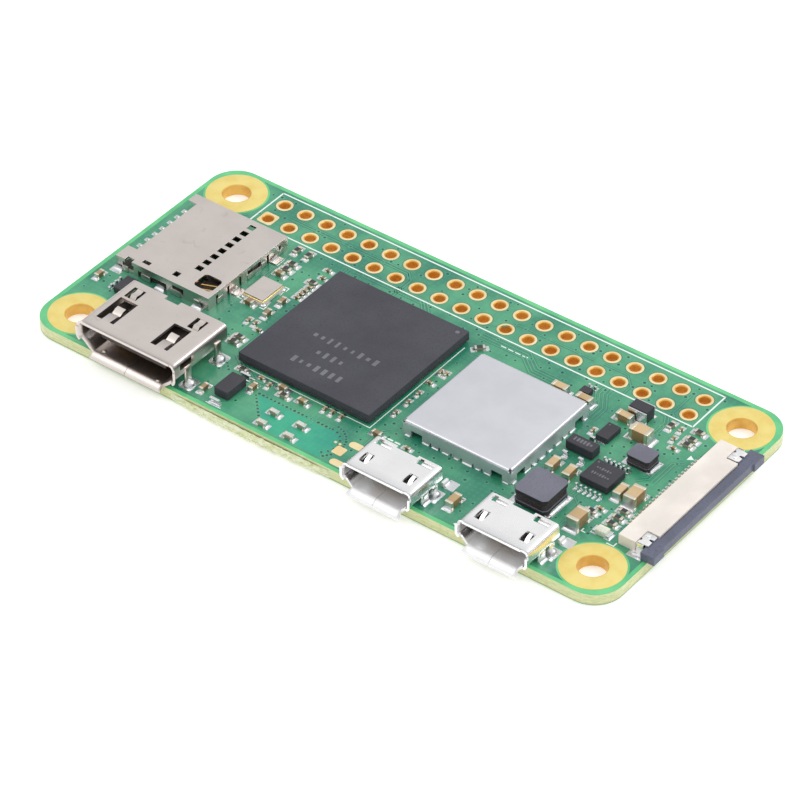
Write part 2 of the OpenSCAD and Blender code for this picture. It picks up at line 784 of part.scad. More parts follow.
module transistor_leads() {
    color(tin_colour) on_board() translate(transistor_at) {
        lead_rows(0.85, 0.18, 0.22, 0.25, [0], []);
        lead_rows(0.85, 0.35, 0.22, 0.25, [], [-0.33, 0.33]);
    }
}

module esd_array_body() {
    color(black_colour) on_board() translate(esd_array_at) block([1.3, 2.1, 0.65], 0.05);
}

module esd_array_leads() {
    color(tin_colour) on_board() translate(esd_array_at) rotate(-90)
        lead_rows(1.3, 0.35, 0.25, 0.3, [-0.65, 0, 0.65], []);
}

module activity_led_body() {
    color(cream_colour) on_board() translate(led_at) block([1.1, 0.8, 0.6]);
}

module activity_led_terminals() {
    color(tin_colour) on_board() translate(led_at)
        for (s = [-1, 1]) translate([s * 0.725, 0, 0]) block([0.35, 0.8, 0.35]);
}

// ---- Two-terminal chips ----

module chip_body(chip) {
    block([chip[0] - 2 * chip[3], chip[1], chip[2]]);
}

module chip_ends(chip) {
    for (s = [-1, 1]) translate([s * (chip[0] - chip[3]) / 2, 0, 0])
        block([chip[3], chip[1], chip[2]]);
}

module large_capacitor_bodies() {
    color(ceramic_colour) at_places(large_capacitors) chip_body(chip_0805);
}

module large_capacitor_terminals() {
    color(tin_colour) at_places(large_capacitors) chip_ends(chip_0805);
}

module medium_capacitor_bodies() {
    color(ceramic_colour) at_places(medium_capacitors) chip_body(chip_0603);
}

module medium_capacitor_terminals() {
    color(tin_colour) at_places(medium_capacitors) chip_ends(chip_0603);
}

module small_capacitor_bodies() {
    color(ceramic_colour) at_places(small_capacitors) chip_body(chip_0402);
}

module small_capacitor_terminals() {
    color(tin_colour) at_places(small_capacitors) chip_ends(chip_0402);
}

module tiny_capacitor_bodies() {
    color(ceramic_colour) at_places(tiny_capacitors) chip_body(chip_0201);
}

module tiny_capacitor_terminals() {
    color(tin_colour) at_places(tiny_capacitors) chip_ends(chip_0201);
}

module resistor_bodies() {
    color(black_colour) at_places(resistors) chip_body(chip_0402_low);
}

module resistor_terminals() {
    color(tin_colour) at_places(resistors) chip_ends(chip_0402_low);
}

// ---- Nodes ----

pcb();
header_plated_holes();
leg_slot_plating();
processor_substrate();
processor_cap();
processor_solder_balls();
radio_shield_can();
radio_chip();
radio_passives();
card_socket_shell();
card_socket_base();
card_socket_contacts();
card_detect_springs();
hdmi_shell();
hdmi_insulator();
hdmi_contacts();
usb_shell(usb_data_x);  // usb_data_shell
usb_insulator(usb_data_x);  // usb_data_insulator
usb_contacts(usb_data_x);  // usb_data_contacts
usb_shell(usb_power_x);  // usb_power_shell
usb_insulator(usb_power_x);  // usb_power_insulator
usb_contacts(usb_power_x);  // usb_power_contacts
camera_housing();
camera_latch();
camera_contacts();
camera_anchors();
crystal_base();
crystal_lid();
power_inductor_core();
power_inductor_winding();
power_inductor_terminals();
buck_inductor_core();
buck_inductor_winding();
buck_inductor_terminals();
filter_inductor_body();
filter_inductor_terminals();
power_ic_body();
power_ic_leads();
regulator_body();
regulator_leads();
switch_ic_body();
switch_ic_terminals();
diode_body();
diode_leads();
transistor_body();
transistor_leads();
esd_array_body();
esd_array_leads();
activity_led_body();
activity_led_terminals();
large_capacitor_bodies();
large_capacitor_terminals();
medium_capacitor_bodies();
medium_capacitor_terminals();
small_capacitor_bodies();
small_capacitor_terminals();
tiny_capacitor_bodies();
tiny_capacitor_terminals();
resistor_bodies();
resistor_terminals();
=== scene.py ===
"""Looks of a small single board computer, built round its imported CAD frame.

The shape builders work in millimetres in the board's own frame, and each piece becomes
metres when it is made. X runs along the board, +Y towards the header holes, +Z up.
"""
import random
from itertools import product
from math import asin, atan2, cos, degrees, hypot, pi, radians, sin, sqrt, tan

import bmesh
import bpy
import numpy as np
from mathutils import Matrix, Vector


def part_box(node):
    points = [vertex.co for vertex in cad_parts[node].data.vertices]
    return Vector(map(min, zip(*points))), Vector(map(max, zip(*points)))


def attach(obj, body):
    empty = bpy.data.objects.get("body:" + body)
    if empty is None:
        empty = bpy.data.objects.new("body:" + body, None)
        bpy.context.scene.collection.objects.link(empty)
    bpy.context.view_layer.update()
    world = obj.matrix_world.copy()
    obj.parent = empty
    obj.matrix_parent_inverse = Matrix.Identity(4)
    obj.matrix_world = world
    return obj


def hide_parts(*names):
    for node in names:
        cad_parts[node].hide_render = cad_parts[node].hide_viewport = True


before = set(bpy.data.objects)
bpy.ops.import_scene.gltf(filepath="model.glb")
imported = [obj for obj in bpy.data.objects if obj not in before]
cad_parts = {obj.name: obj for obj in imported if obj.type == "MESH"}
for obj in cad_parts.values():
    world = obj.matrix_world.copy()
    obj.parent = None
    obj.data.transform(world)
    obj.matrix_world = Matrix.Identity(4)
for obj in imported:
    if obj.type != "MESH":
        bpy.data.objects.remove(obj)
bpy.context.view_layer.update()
scene = bpy.context.scene
rng = random.Random(11)
MM = 0.001
SIDES = (-1, 1)
SHARP = radians(32)


def box_mm(node):
    low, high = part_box(node)
    return low / MM, high / MM


def middle_of(node):
    """The x and y of a node's centre."""
    low, high = box_mm(node)
    return (low.x + high.x) / 2, (low.y + high.y) / 2


BOARD_X, BOARD_Y, TOP = box_mm("pcb")[1]
# The mounting holes stand this far in from the edges, and vias keep as far from them
INSET = 3.5
HOLE_X, HOLE_Y = BOARD_X - INSET, BOARD_Y - INSET
HOLE_R, RING_R = 1.375, 3.0
# The mask over copper stands this far above the laminate, and its surface is the skin
PROUD = 0.016
SKIN = TOP + PROUD
# The height of each face of the board and the direction out of it
FACES = ((TOP, 1), (0, -1))

# ---------------------------------------------------------------- camera

AZIMUTH, ELEVATION, ROLL = radians(37.57), radians(39.713), radians(-0.401)
DISTANCE, LENS = 382.81, 191.42
AIM = Vector((2.21, -3.68, TOP))


def show(made):
    scene.collection.objects.link(made)
    return made


def make_camera():
    level = cos(ELEVATION)
    back = Vector((sin(AZIMUTH) * level, -cos(AZIMUTH) * level, sin(ELEVATION)))
    right = Vector((cos(AZIMUTH), sin(AZIMUTH), 0))
    up = back.cross(right)
    turned_right = right * cos(ROLL) + up * sin(ROLL)
    turned_up = up * cos(ROLL) - right * sin(ROLL)
    data = bpy.data.cameras.new("camera")
    data.lens, data.sensor_width = LENS, 36
    data.clip_start, data.clip_end = 0.01, 10
    camera = show(bpy.data.objects.new("camera", data))
    turn = Matrix((turned_right, turned_up, back)).transposed().to_4x4()
    camera.matrix_world = Matrix.Translation((AIM + back * DISTANCE) * MM) @ turn
    scene.camera = camera


make_camera()

# ---------------------------------------------------------------- materials


def srgb(colour):
    """A colour given as it looks on a screen, 0 to 255, as linear light."""
    def linear(c):
        c /= 255
        return c / 12.92 if c <= 0.04045 else ((c + 0.055) / 1.055) ** 2.4
    return (*map(linear, colour), 1)


def shaded(colour, factor, lift=0.0):
    """A linear colour made darker or lighter."""
    return (*(min(1, c * factor + lift) for c in colour[:3]), 1)


class Look:
    """A procedural material: a Principled shader with helpers for the nodes in front of it."""

    def __init__(self, name, metallic=0.0, rough=0.5, **sockets):
        self.mat = bpy.data.materials.new(name)
        self.mat.use_nodes = True
        self.tree = self.mat.node_tree
        self.shader = self.tree.nodes["Principled BSDF"]
        self.feed(self.shader, Metallic=metallic, Roughness=rough, **sockets)
        self.place = self.add("TexCoord").outputs["Object"]
        self.relief = None

    def put(self, value, socket):
        """Links a node's output to the socket, or sets the socket to a plain value."""
        if isinstance(value, bpy.types.NodeSocket):
            self.tree.links.new(value, socket)
        else:
            socket.default_value = value

    def feed(self, node, *values, **sockets):
        """Puts values on the inputs in order, then by name, _ standing for a space."""
        for value, socket in zip(values, node.inputs):
            self.put(value, socket)
        for name, value in sockets.items():
            self.put(value, node.inputs[name.replace("_", " ")])
        return node

    def add(self, kind, *values, **sockets):
        return self.feed(self.tree.nodes.new("ShaderNode" + kind), *values, **sockets)

    def noise(self, size, detail, stretch=None, distort=0.0):
        """Noise whose blobs are about size millimetres across."""
        where = self.place
        if stretch:
            where = self.add("Mapping", Vector=where, Scale=stretch).outputs["Vector"]
        scale = 1 / (size * MM)
        node = self.add("TexNoise", Vector=where, Scale=scale, Detail=detail, Distortion=distort)
        return node.outputs["Fac"]

    def weave(self, pitch=0.55):
        """Two crossed sets of bands, as woven glass shows through resin."""
        bands = []
        for axis in "XY":
            scale = 0.31 / (pitch * MM)
            node = self.add("TexWave", Vector=self.place, Scale=scale, Distortion=1.5, Detail=1)
            node.bands_direction = axis
            bands.append(node.outputs["Fac"])
        return self.math("MULTIPLY", *bands)

    def math(self, operation, a, b=0.0):
        node = self.add("Math", a, b)
        node.operation = operation
        return node.outputs[0]

    def clip(self, value, low, high):
        """value from low to high, as 0 to 1."""
        node = self.add("MapRange", value, low, high)
        node.interpolation_type = "SMOOTHSTEP"
        return node.outputs["Result"]

    def patches(self, size, detail, low, high, **more):
        return self.clip(self.noise(size, detail, **more), low, high)

    def height_mm(self):
        return self.math("DIVIDE", self.add("SeparateXYZ", self.place).outputs["Z"], MM)

    def normal_z(self):
        normal = self.add("NewGeometry").outputs["Normal"]
        return self.add("SeparateXYZ", normal).outputs["Z"]

    def mix(self, fac, a, b, amount=None):
        """b over a by fac, which is first scaled by amount if that is given."""
        node = self.add("Mix")
        node.data_type = "RGBA"
        self.put(self.math("MULTIPLY", fac, amount) if amount else fac, node.inputs["Factor"])
        self.put(a, node.inputs[6])
        self.put(b, node.inputs[7])
        return node.outputs[2]

    def colour(self, value):
        self.feed(self.shader, Base_Color=value)

    def vary(self, fac, low, high, socket="Roughness"):
        result = self.add("MapRange", fac, 0, 1, low, high).outputs["Result"]
        self.put(result, self.shader.inputs[socket])

    def bump(self, value, depth):
        """Relief of depth millimetres, added to any relief set before."""
        node = self.add("Bump", Height=value, Distance=depth * MM, Strength=1)
        if self.relief is not None:
            self.put(self.relief, node.inputs["Normal"])
        self.relief = node.outputs["Normal"]
        self.put(self.relief, self.shader.inputs["Normal"])
        return self


def mask_look(name, base, shade):
    """Glossy solder mask: broad shade patches, a faint weave and a fine orange peel."""
    look = Look(name, rough=0.32, Coat_Weight=0.25, Coat_Roughness=0.12, IOR=1.5)
    base, shade = srgb(base), srgb(shade)
    colour = look.mix(look.patches(5.5, 3, 0.38, 0.68), base, shade)
    colour = look.mix(look.patches(1.2, 3, 0.3, 0.75), colour, shade, 0.35)
    look.colour(look.mix(look.weave(), colour, shaded(base, 1.22), 0.16))
    look.vary(look.noise(0.8, 3), 0.24, 0.42)
    look.bump(look.noise(0.35, 3), 0.004)
    return look.bump(look.weave(), 0.0024)


def laminate_layers(look):
    """Pale resin with glass layers that run along the cut edge, with painted shade darkening its foot
    where the board meets the floor.
    """
    layer = look.noise(1.1, 4, stretch=(1, 1, 9), distort=0.6)
    fibre = look.noise(0.22, 4, stretch=(0.5, 0.5, 5))
    colour = look.mix(look.clip(layer, 0.35, 0.65), srgb((200, 206, 146)), srgb((220, 222, 172)))
    colour = look.mix(look.clip(fibre, 0.5, 0.78), colour, srgb((158, 162, 104)))
    # Painted shade: the lowest part of the edge, next to the floor, is painted darker
    foot = look.clip(look.height_mm(), 0.0, 0.22)
    return look.mix(foot, srgb((150, 156, 96)), colour), layer, fibre


def board_look():
    """Bright mask over bare laminate on the faces, and glass layers round the edges."""
    look = Look("bare_board", rough=0.4, Coat_Weight=0.15, Coat_Roughness=0.2)
    edge, layer, fibre = laminate_layers(look)
    flat = look.clip(look.math("ABSOLUTE", look.normal_z()), 0.4, 0.6)
    patches = look.patches(2.5, 3, 0.3, 0.7)
    face = look.mix(patches, srgb((112, 206, 138)), srgb((88, 186, 126)))
    look.colour(look.mix(flat, edge, face))
    look.vary(look.noise(0.5, 3), 0.3, 0.55)
    look.bump(layer, 0.012)
    return look.bump(fibre, 0.01)


def fibre_look():
    look = Look("torn_laminate", rough=0.65)
    edge, layer, fibre = laminate_layers(look)
    frayed = look.patches(0.7, 4, 0.35, 0.65, stretch=(1, 1, 4))
    look.colour(look.mix(frayed, edge, srgb((234, 240, 214)), 0.75))
    look.bump(layer, 0.05)
    return look.bump(fibre, 0.03)


def metal_look(name, base, rough=0.3, grain=0.25, relief=0.002, stretch=None, stain=None,
               metallic=1.0, dull=None):
    """Sheet metal or solder with soft cloudy shades, rolling grain and small stains.

    Below the height dull the plating is matt, as on the floor inside a plug socket."""
    look = Look(name, metallic, rough)
    base = srgb(base)
    colour = look.mix(look.patches(3.0, 3, 0.3, 0.7), base, shaded(base, 0.88), 0.55)
    if stain:
        spots = look.patches(0.9, 5, 0.6, 0.78, distort=0.8)
        colour = look.mix(spots, colour, srgb(stain), 0.5)
    look.colour(colour)
    fine = look.noise(grain, 4, stretch)
    look.vary(fine, rough * 0.75, rough * 1.35)
    if dull:
        look.vary(look.clip(look.height_mm(), dull, dull + 0.3), 0.25, metallic, "Metallic")
    return look.bump(fine, relief)


def moulded_look(name, base, rough=0.55, relief=0.01, speck=0.12, low=None, **sockets):
    """Moulded epoxy or nylon, finely grained with faint clouds; low is a darker colour painted on its
    sides as painted shade.
    """
    look = Look(name, rough=rough, **sockets)
    base = srgb(base)
    fine = look.noise(speck, 5)
    colour = look.mix(look.patches(4, 3, 0.3, 0.7), base, shaded(base, 1.22, 0.004))
    colour = look.mix(look.clip(fine, 0.52, 0.75), colour, shaded(base, 0.82))
    # Painted shade: faces that turn away from up take the darker low colour
    if low:
        colour = look.mix(look.clip(look.normal_z(), 0.3, 0.8), srgb(low), colour)
    look.colour(colour)
    look.vary(fine, rough * 0.85, rough * 1.2)
    return look.bump(fine, relief)


def ceramic_look(name, base, shade, rough=0.45):
    """Fired ceramic: every chip a little different and grainy, with painted shade on its sides."""
    look = Look(name, rough=rough, Coat_Weight=0.2, Coat_Roughness=0.3)
    base = srgb(base)
    grain = look.noise(0.12, 4)
    colour = look.mix(look.patches(4.5, 1, 0.35, 0.65), base, srgb(shade))
    colour = look.mix(look.clip(grain, 0.5, 0.8), colour, shaded(base, 0.8))
    # Painted shade: the sides, facing away from the light above, take a darker copy of the colour
    side = (base[0] * 0.5, base[1] * 0.42, base[2] * 0.34, 1)
    look.colour(look.mix(look.clip(look.normal_z(), 0.3, 0.8), side, colour))
    look.vary(grain, rough * 0.8, rough * 1.3)
    return look.bump(grain, 0.006)


def gold_look(name, base, shade, rough=0.32, metallic=0.75):
    look = Look(name, metallic, rough)
    fine = look.noise(0.18, 4)
    look.colour(look.mix(look.patches(1.6, 4, 0.32, 0.72), srgb(base), srgb(shade)))
    look.vary(fine, rough * 0.7, rough * 1.5)
    return look.bump(fine, 0.003)


def silk_look():
    """White ink with soft thin spots."""
    look = Look("silk_ink", rough=0.55)
    thin = look.patches(0.3, 4, 0.55, 0.85)
    look.colour(look.mix(thin, srgb((236, 246, 240)), srgb((190, 222, 206))))
    return look.bump(look.noise(0.15, 3), 0.004)


LOOKS = {
    "board": board_look(),
    "fibres": fibre_look(),
    "pour": mask_look("mask_over_copper", (80, 162, 122), (34, 124, 98)),
    "gap": mask_look("mask_in_gaps", (50, 122, 94), (34, 102, 84)),
    "trace": mask_look("mask_over_traces", (90, 168, 130), (48, 138, 114)),
    "antenna": mask_look("mask_over_antenna", (46, 170, 132), (20, 144, 122)),
    "via": mask_look("mask_in_vias", (26, 84, 66), (18, 72, 60)),
    "silk": silk_look(),
    "ring": gold_look("immersion_gold", (237, 218, 134), (230, 204, 112), 0.4, 0.2),
    "barrel": gold_look("hole_wall_gold", (234, 194, 100), (216, 168, 74), metallic=0.3),
    "pad": gold_look("header_pad_gold", (246, 226, 178), (238, 208, 150), 0.3, 0.4),
    "copper": gold_look("header_barrel", (234, 182, 90), (220, 158, 64), 0.4, 0.6),
    "contact": gold_look("contact_gold", (226, 188, 120), (206, 160, 88), 0.25, 1.0),
    "rim": gold_look("seal_ring", (250, 228, 158), (236, 206, 120), 0.22),
    "solder": metal_look("bright_solder", (222, 224, 226), 0.34, 0.3, 0.02),
    "tin": metal_look("tinned_leads", (222, 224, 226), 0.26, 0.15),
    "ends": metal_look("chip_terminals", (224, 216, 198), 0.3, 0.1, metallic=0.9),
    "shield": metal_look(
        "shield_sheet", (214, 215, 220), 0.22, 0.12, 0.0012, stretch=(1, 8, 1), metallic=0.6),
    "shell": metal_look(
        "nickel_sheet", (219, 210, 204), 0.3, 0.14, 0.0015, stretch=(8, 1, 1),
        stain=(186, 176, 168)),
    "bright": metal_look(
        "tinned_sheet", (250, 249, 249), 0.24, 0.16, 0.0015, stretch=(6, 1, 1), dull=TOP + 0.5),
    "processor": moulded_look("processor_mould", (62, 62, 69), 0.66, 0.012),
    "mould": moulded_look("chip_mould", (52, 51, 58), 0.55, 0.012),
    "marking": moulded_look("faint_marks", (106, 105, 112), 0.6),
    "socket": moulded_look("socket_nylon", (58, 50, 46), 0.45),
    "cream": moulded_look(
        "cream_nylon", (232, 222, 212), 0.5, 0.004, 0.05, Subsurface_Weight=0.08),
    "slate": moulded_look("slate_nylon", (88, 91, 108), 0.45, 0.02, 0.2),
    # The ferrite's sides carry painted shade, a darker colour than its top
    "ferrite": moulded_look("ferrite", (104, 104, 117), 0.55, 0.01, 0.1, low=(50, 46, 50)),
    "winding": moulded_look("lacquered_wire", (46, 40, 40), 0.25, speck=0.2),
    "film": moulded_look("resistor_film", (48, 48, 54), 0.4),
    "lamp": moulded_look("lamp_resin", (238, 226, 200), 0.3, Subsurface_Weight=0.3),
    "tan": ceramic_look("tan_ceramic", (208, 180, 136), (184, 154, 110)),
    "tan_dark": ceramic_look("brown_ceramic", (172, 146, 108), (132, 112, 88)),
    "pale": ceramic_look("pale_ceramic", (214, 214, 209), (192, 192, 186)),
}

# ---------------------------------------------------------------- shape builders


class Piece:
    """Collects shapes of one finish in millimetres, then becomes one object."""

    def __init__(self, name, look, slot):
        self.name, self.look, self.slot = name, look, slot
        self.bm = bmesh.new()

    def stamp(self, shape, at=(0, 0, 0), turn=0.0, scale=(1, 1, 1)):
        """Adds a shape, a (points, faces) pair, turned about Z by turn degrees."""
        points, faces = shape
        place = Matrix.Translation(at) @ Matrix.Rotation(radians(turn), 4, "Z")
        place = place @ Matrix.Diagonal((*scale, 1))
        made = [self.bm.verts.new(place @ Vector(p)) for p in points]
        for face in faces:
            try:
                self.bm.faces.new([made[i] for i in face])
            except ValueError:
                pass

    def done(self, *replaces, smooth=True):
        loose = [v for v in self.bm.verts if not v.link_faces]
        bmesh.ops.delete(self.bm, geom=loose, context="VERTS")
        bmesh.ops.recalc_face_normals(self.bm, faces=self.bm.faces)
        if smooth:
            for face in self.bm.faces:
                face.smooth = True
            for edge in self.bm.edges:
                edge.smooth = len(edge.link_faces) == 2 and edge.calc_face_angle(0) <= SHARP
        bmesh.ops.scale(self.bm, vec=(MM, MM, MM), verts=self.bm.verts)
        mesh = bpy.data.meshes.new(self.name)
        self.bm.to_mesh(mesh)
        self.bm.free()
        settle(self.name, mesh, self.look, self.slot, *replaces)


def settle(name, mesh, look, slot, *replaces):
    mesh.materials.clear()
    mesh.materials.append(LOOKS[look].mat)
    made = show(bpy.data.objects.new(name, mesh))
    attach(made, "board")
    if replaces:
        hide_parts(*replaces)


def solder_and_lands(name):
    """The solder of a group of parts, and the tinned lands that it stands on."""
    solder = Piece(name + "_solder", "solder", "solder_tin")
    return solder, Piece(name + "_lands", "tin", "solder_tin")


def finish_all(*pieces):
    for piece in pieces:
        piece.done()


def shape_of(bm):
    bm.verts.index_update()
    shape = ([v.co[:] for v in bm.verts], [[v.index for v in f.verts] for f in bm.faces])
    bm.free()
    return shape


def round_edges(bm, edges, radius, segments):
    bmesh.ops.bevel(
        bm, geom=edges, offset=radius, segments=segments, affect="EDGES", profile=0.5)


def rounded_box(length, width, height, radius, segments=2, base=0.0):
    """A box on z = base with all its edges rounded."""
    bm = bmesh.new()
    bmesh.ops.create_cube(bm, size=1)
    for v in bm.verts:
        v.co = Vector((v.co.x * length, v.co.y * width, (v.co.z + 0.5) * height + base))
    round_edges(bm, bm.edges[:], radius, segments)
    return shape_of(bm)


def prism(outline, low, high, bevel=0.0, segments=2):
    """A flat outline given thickness, its upper edges rounded if bevel is set."""
    bm = bmesh.new()
    bottom = [bm.verts.new((x, y, low)) for x, y in outline]
    top = [bm.verts.new((x, y, high)) for x, y in outline]
    bm.faces.new(list(reversed(bottom)))
    lid = bm.faces.new(top)
    for i in range(len(outline)):
        j = (i + 1) % len(outline)
        bm.faces.new((bottom[i], bottom[j], top[j], top[i]))
    if bevel:
        round_edges(bm, lid.edges[:], bevel, segments)
    return shape_of(bm)


def polar(radius, angle, at=(0, 0)):
    return at[0] + radius * cos(angle), at[1] + radius * sin(angle)


def grid_faces(rows, columns, closed=False):
    """Faces between rows of points; a closed row joins its last point to its first."""
    faces = []
    for a, i in product(range(0, rows * columns, columns), range(columns - (not closed))):
        j = (i + 1) % columns
        faces.append([a + i, a + j, a + columns + j, a + columns + i])
    return faces


def lathe(profile, steps=32, square_from=None):
    """A closed (radius, z) profile turned about Z; radii from square_from on go round a square."""
    points, faces = [], []
    n = len(profile)
    for i in range(steps):
        a = 2 * pi * i / steps
        side = 1 / max(abs(cos(a)), abs(sin(a)))
        k = (i + 1) % steps
        for j, (r, z) in enumerate(profile):
            m = (j + 1) % n
            wide = r * side if square_from and r >= square_from else r
            points.append((*polar(wide, a), z))
            faces.append([i * n + j, k * n + j, k * n + m, i * n + m])
    return points, faces


def dome(radius, height, steps=12, rings=4):
    """A drop of solder or resin that sits flat on z = 0."""
    points, faces = [(0, 0, height)], []
    for k in range(1, rings + 1):
        a = pi / 2 * k / rings
        for i in range(steps):
            points.append((*polar(radius * sin(a), 2 * pi * i / steps), height * cos(a)))
    for i in range(steps):
        j = (i + 1) % steps
        faces.append([0, 1 + i, 1 + j])
        for k in range(rings - 1):
            a, b = 1 + k * steps, 1 + (k + 1) * steps
            faces.append([a + i, b + i, b + j, a + j])
    faces.append([1 + (rings - 1) * steps + i for i in reversed(range(steps))])
    return points, faces


def fillet(width, reach, height, flare=0.12, steps=5):
    """Hollow solder slope: from the board at y = -reach up to height at y = 0."""
    points = []
    for k in range(steps + 1):
        a = pi / 2 * k / steps
        y = -reach + reach * sin(a)
        z = 0.012 + (height - 0.012) * (1 - cos(a))
        half = width / 2 + flare * (1 - k / steps)
        for s, drop in ((-1, 0.6), (-0.8, 1), (0.8, 1), (1, 0.6)):
            points.append((s * half, y, z * drop))
    last, base = 4 * steps, 4 * steps + 4
    for i, y in ((0, -reach), (3, -reach), (last + 3, 0), (last, 0)):
        points.append((points[i][0], y, 0))
    faces = grid_faces(steps, 4)
    faces.append([base, base + 1, 3, 2, 1, 0])
    faces.append([base + 3, last, last + 1, last + 2, last + 3, base + 2])
    faces.append([base, *range(0, last + 1, 4), base + 3])
    faces.append([base + 1, base + 2, *range(last + 3, 0, -4)])
    faces.append([base + 3, base + 2, base + 1, base])
    return points, faces


def stroke(path, width):
    """The outline of a line of constant width along a path, with mitred corners."""
    left, right = [], []
    path = [Vector(p) for p in path]
    runs = [(b - a).normalized() for a, b in zip(path, path[1:])]
    for p, before, after in zip(path, runs[:1] + runs, runs + runs[-1:]):
        along = (before + after).normalized()
        side = Vector((-along.y, along.x)) * (width / 2 / max(0.5, along.dot(before)))
        left.append(p + side)
        right.append(p - side)
    return [tuple(q) for q in left + right[::-1]]


def band(path, thickness, width):
    """A bent strip: a (y, z) path given thickness, and width along X."""
    outline = stroke(path, thickness)
    n = len(outline)
    points = [(s * width / 2, y, z) for s in SIDES for y, z in outline]
    faces = []
    for i in range(n // 2 - 1):
        a, b, c, d = i, i + 1, n - 2 - i, n - 1 - i
        faces += [[a, b, c, d], [n + d, n + c, n + b, n + a]]
    return points, faces + grid_faces(1, n, closed=True)


def rounded_path(corners, steps=5):
    """(x, z, radius) corners joined by straight runs; a corner with a radius is rounded."""
    path = []
    for i, (x, z, radius) in enumerate(corners):
        if radius == 0:
            path.append((x, z))
            continue
        here = Vector((x, z))
        a = (Vector(corners[i - 1][:2]) - here).normalized()
        b = (Vector(corners[i + 1][:2]) - here).normalized()
        reach = radius / tan(a.angle(b) / 2)
        start, end = here + a * reach, here + b * reach
        for k in range(steps + 1):
            t = k / steps
            path.append(tuple(start.lerp(here, t).lerp(here.lerp(end, t), t)))
    return path


def cut_path(path, boxes):
    """Adds points to an (x, z) path where it crosses the sides of the boxes."""
    cut = [path[0]]
    for a, b in zip(path, path[1:]):
        marks = set()
        for box in boxes:
            for axis, value in ((0, box[0]), (0, box[1]), (1, box[4]), (1, box[5])):
                span = b[axis] - a[axis]
                if abs(span) > 1e-6 and 0.01 < (value - a[axis]) / span < 0.99:
                    marks.add(round((value - a[axis]) / span, 4))
        cut += [(a[0] + (b[0] - a[0]) * t, a[1] + (b[1] - a[1]) * t) for t in sorted(marks)]
        cut.append(b)
    return cut


def heading(path, i):
    """The direction of a path at its point i."""
    return (Vector(path[min(len(path) - 1, i + 1)]) - Vector(path[max(0, i - 1)])).normalized()


def formed_sheet(path, stations, thickness, boxes, flare=lambda y, z: 0):
    """Sheet metal bent to an (x, z) path and carried along the Y stations.

    Each box (x0, x1, y0, y1, z0, z1) cuts a window. flare(y, z) moves the sheet outwards.
    The path runs anticlockwise seen from the front, so that its right side is outside.
    """
    path = cut_path(path, boxes)
    sides = [y for box in boxes for y in box[2:4] if min(stations) < y < max(stations)]
    stations = sorted({round(y, 4) for y in stations + sides})
    n, rows = len(path), len(stations)
    points = []
    for y in stations:
        for i, (x, z) in enumerate(path):
            along = heading(path, i)
            out = Vector((along.y, -along.x))
            outer = Vector((x, z)) + out * flare(y, z)
            inner = outer - out * thickness
            points += [(outer.x, y, outer.y), (inner.x, y, inner.y)]

    def kept(i, k):
        if not (0 <= i < n - 1 and 0 <= k < rows - 1):
            return False
        x = (path[i][0] + path[i + 1][0]) / 2
        z = (path[i][1] + path[i + 1][1]) / 2
        y = (stations[k] + stations[k + 1]) / 2
        return not any(b[0] < x < b[1] and b[2] < y < b[3] and b[4] < z < b[5] for b in boxes)

    faces = []
    for k, i in product(range(rows - 1), range(n - 1)):
        if not kept(i, k):
            continue
        a = 2 * (k * n + i)
        b, c, d = a + 2, a + 2 + 2 * n, a + 2 * n
        faces += [[a, b, c, d], [d + 1, c + 1, b + 1, a + 1]]
        for di, dk, p, q in ((-1, 0, a, d), (1, 0, b, c), (0, -1, a, b), (0, 1, d, c)):
            if not kept(i + di, k + dk):
                faces.append([p, q, q + 1, p + 1])
    return points, faces


def ring_outline(radius, steps, at=(0, 0)):
    return [polar(radius, 2 * pi * i / steps, at) for i in range(steps)]


def rounded_outline(half_x, half_y, radius, steps, at=(0, 0)):
    outline = []
    for k, (sx, sy) in enumerate(QUARTERS):
        corner = (at[0] + sx * (half_x - radius), at[1] + sy * (half_y - radius))
        outline += [polar(radius, pi / 2 * (k + i / steps), corner) for i in range(steps + 1)]
    return outline


def arc_path(x, y, r, a0, a1, steps=8):
    return [polar(r, radians(a0 + (a1 - a0) * i / steps), (x, y)) for i in range(steps + 1)]


def rectangle(x0, y0, x1, y1):
    return [(x0, y0), (x1, y0), (x1, y1), (x0, y1)]


def plate(half_x, half_y, radius, steps, rise, bevel=0.0):
    """A land with round corners, whose top stands rise above the mask."""
    return prism(rounded_outline(half_x, half_y, radius, steps), 0, PROUD + rise, bevel, 1)


def sheet(name, look, slot, outlines, low, high):
    """A flat sheet: the first outline is its edge and the others are holes in it."""
    curve = bpy.data.curves.new(name, "CURVE")
    curve.dimensions = "2D"
    curve.fill_mode = "BOTH"
    curve.extrude = (high - low) / 2 * MM
    for outline in outlines:
        spline = curve.splines.new("POLY")
        spline.points.add(len(outline) - 1)
        for point, (x, y) in zip(spline.points, outline):
            point.co = (x * MM, y * MM, 0, 1)
        spline.use_cyclic_u = True
    holder = show(bpy.data.objects.new(name + "_curve", curve))
    graph = bpy.context.evaluated_depsgraph_get()
    mesh = bpy.data.meshes.new_from_object(holder.evaluated_get(graph))
    bpy.data.objects.remove(holder)
    mesh.transform(Matrix.Translation((0, 0, (low + high) / 2 * MM)))
    settle(name, mesh, look, slot)


# ---------------------------------------------------------------- CAD nodes

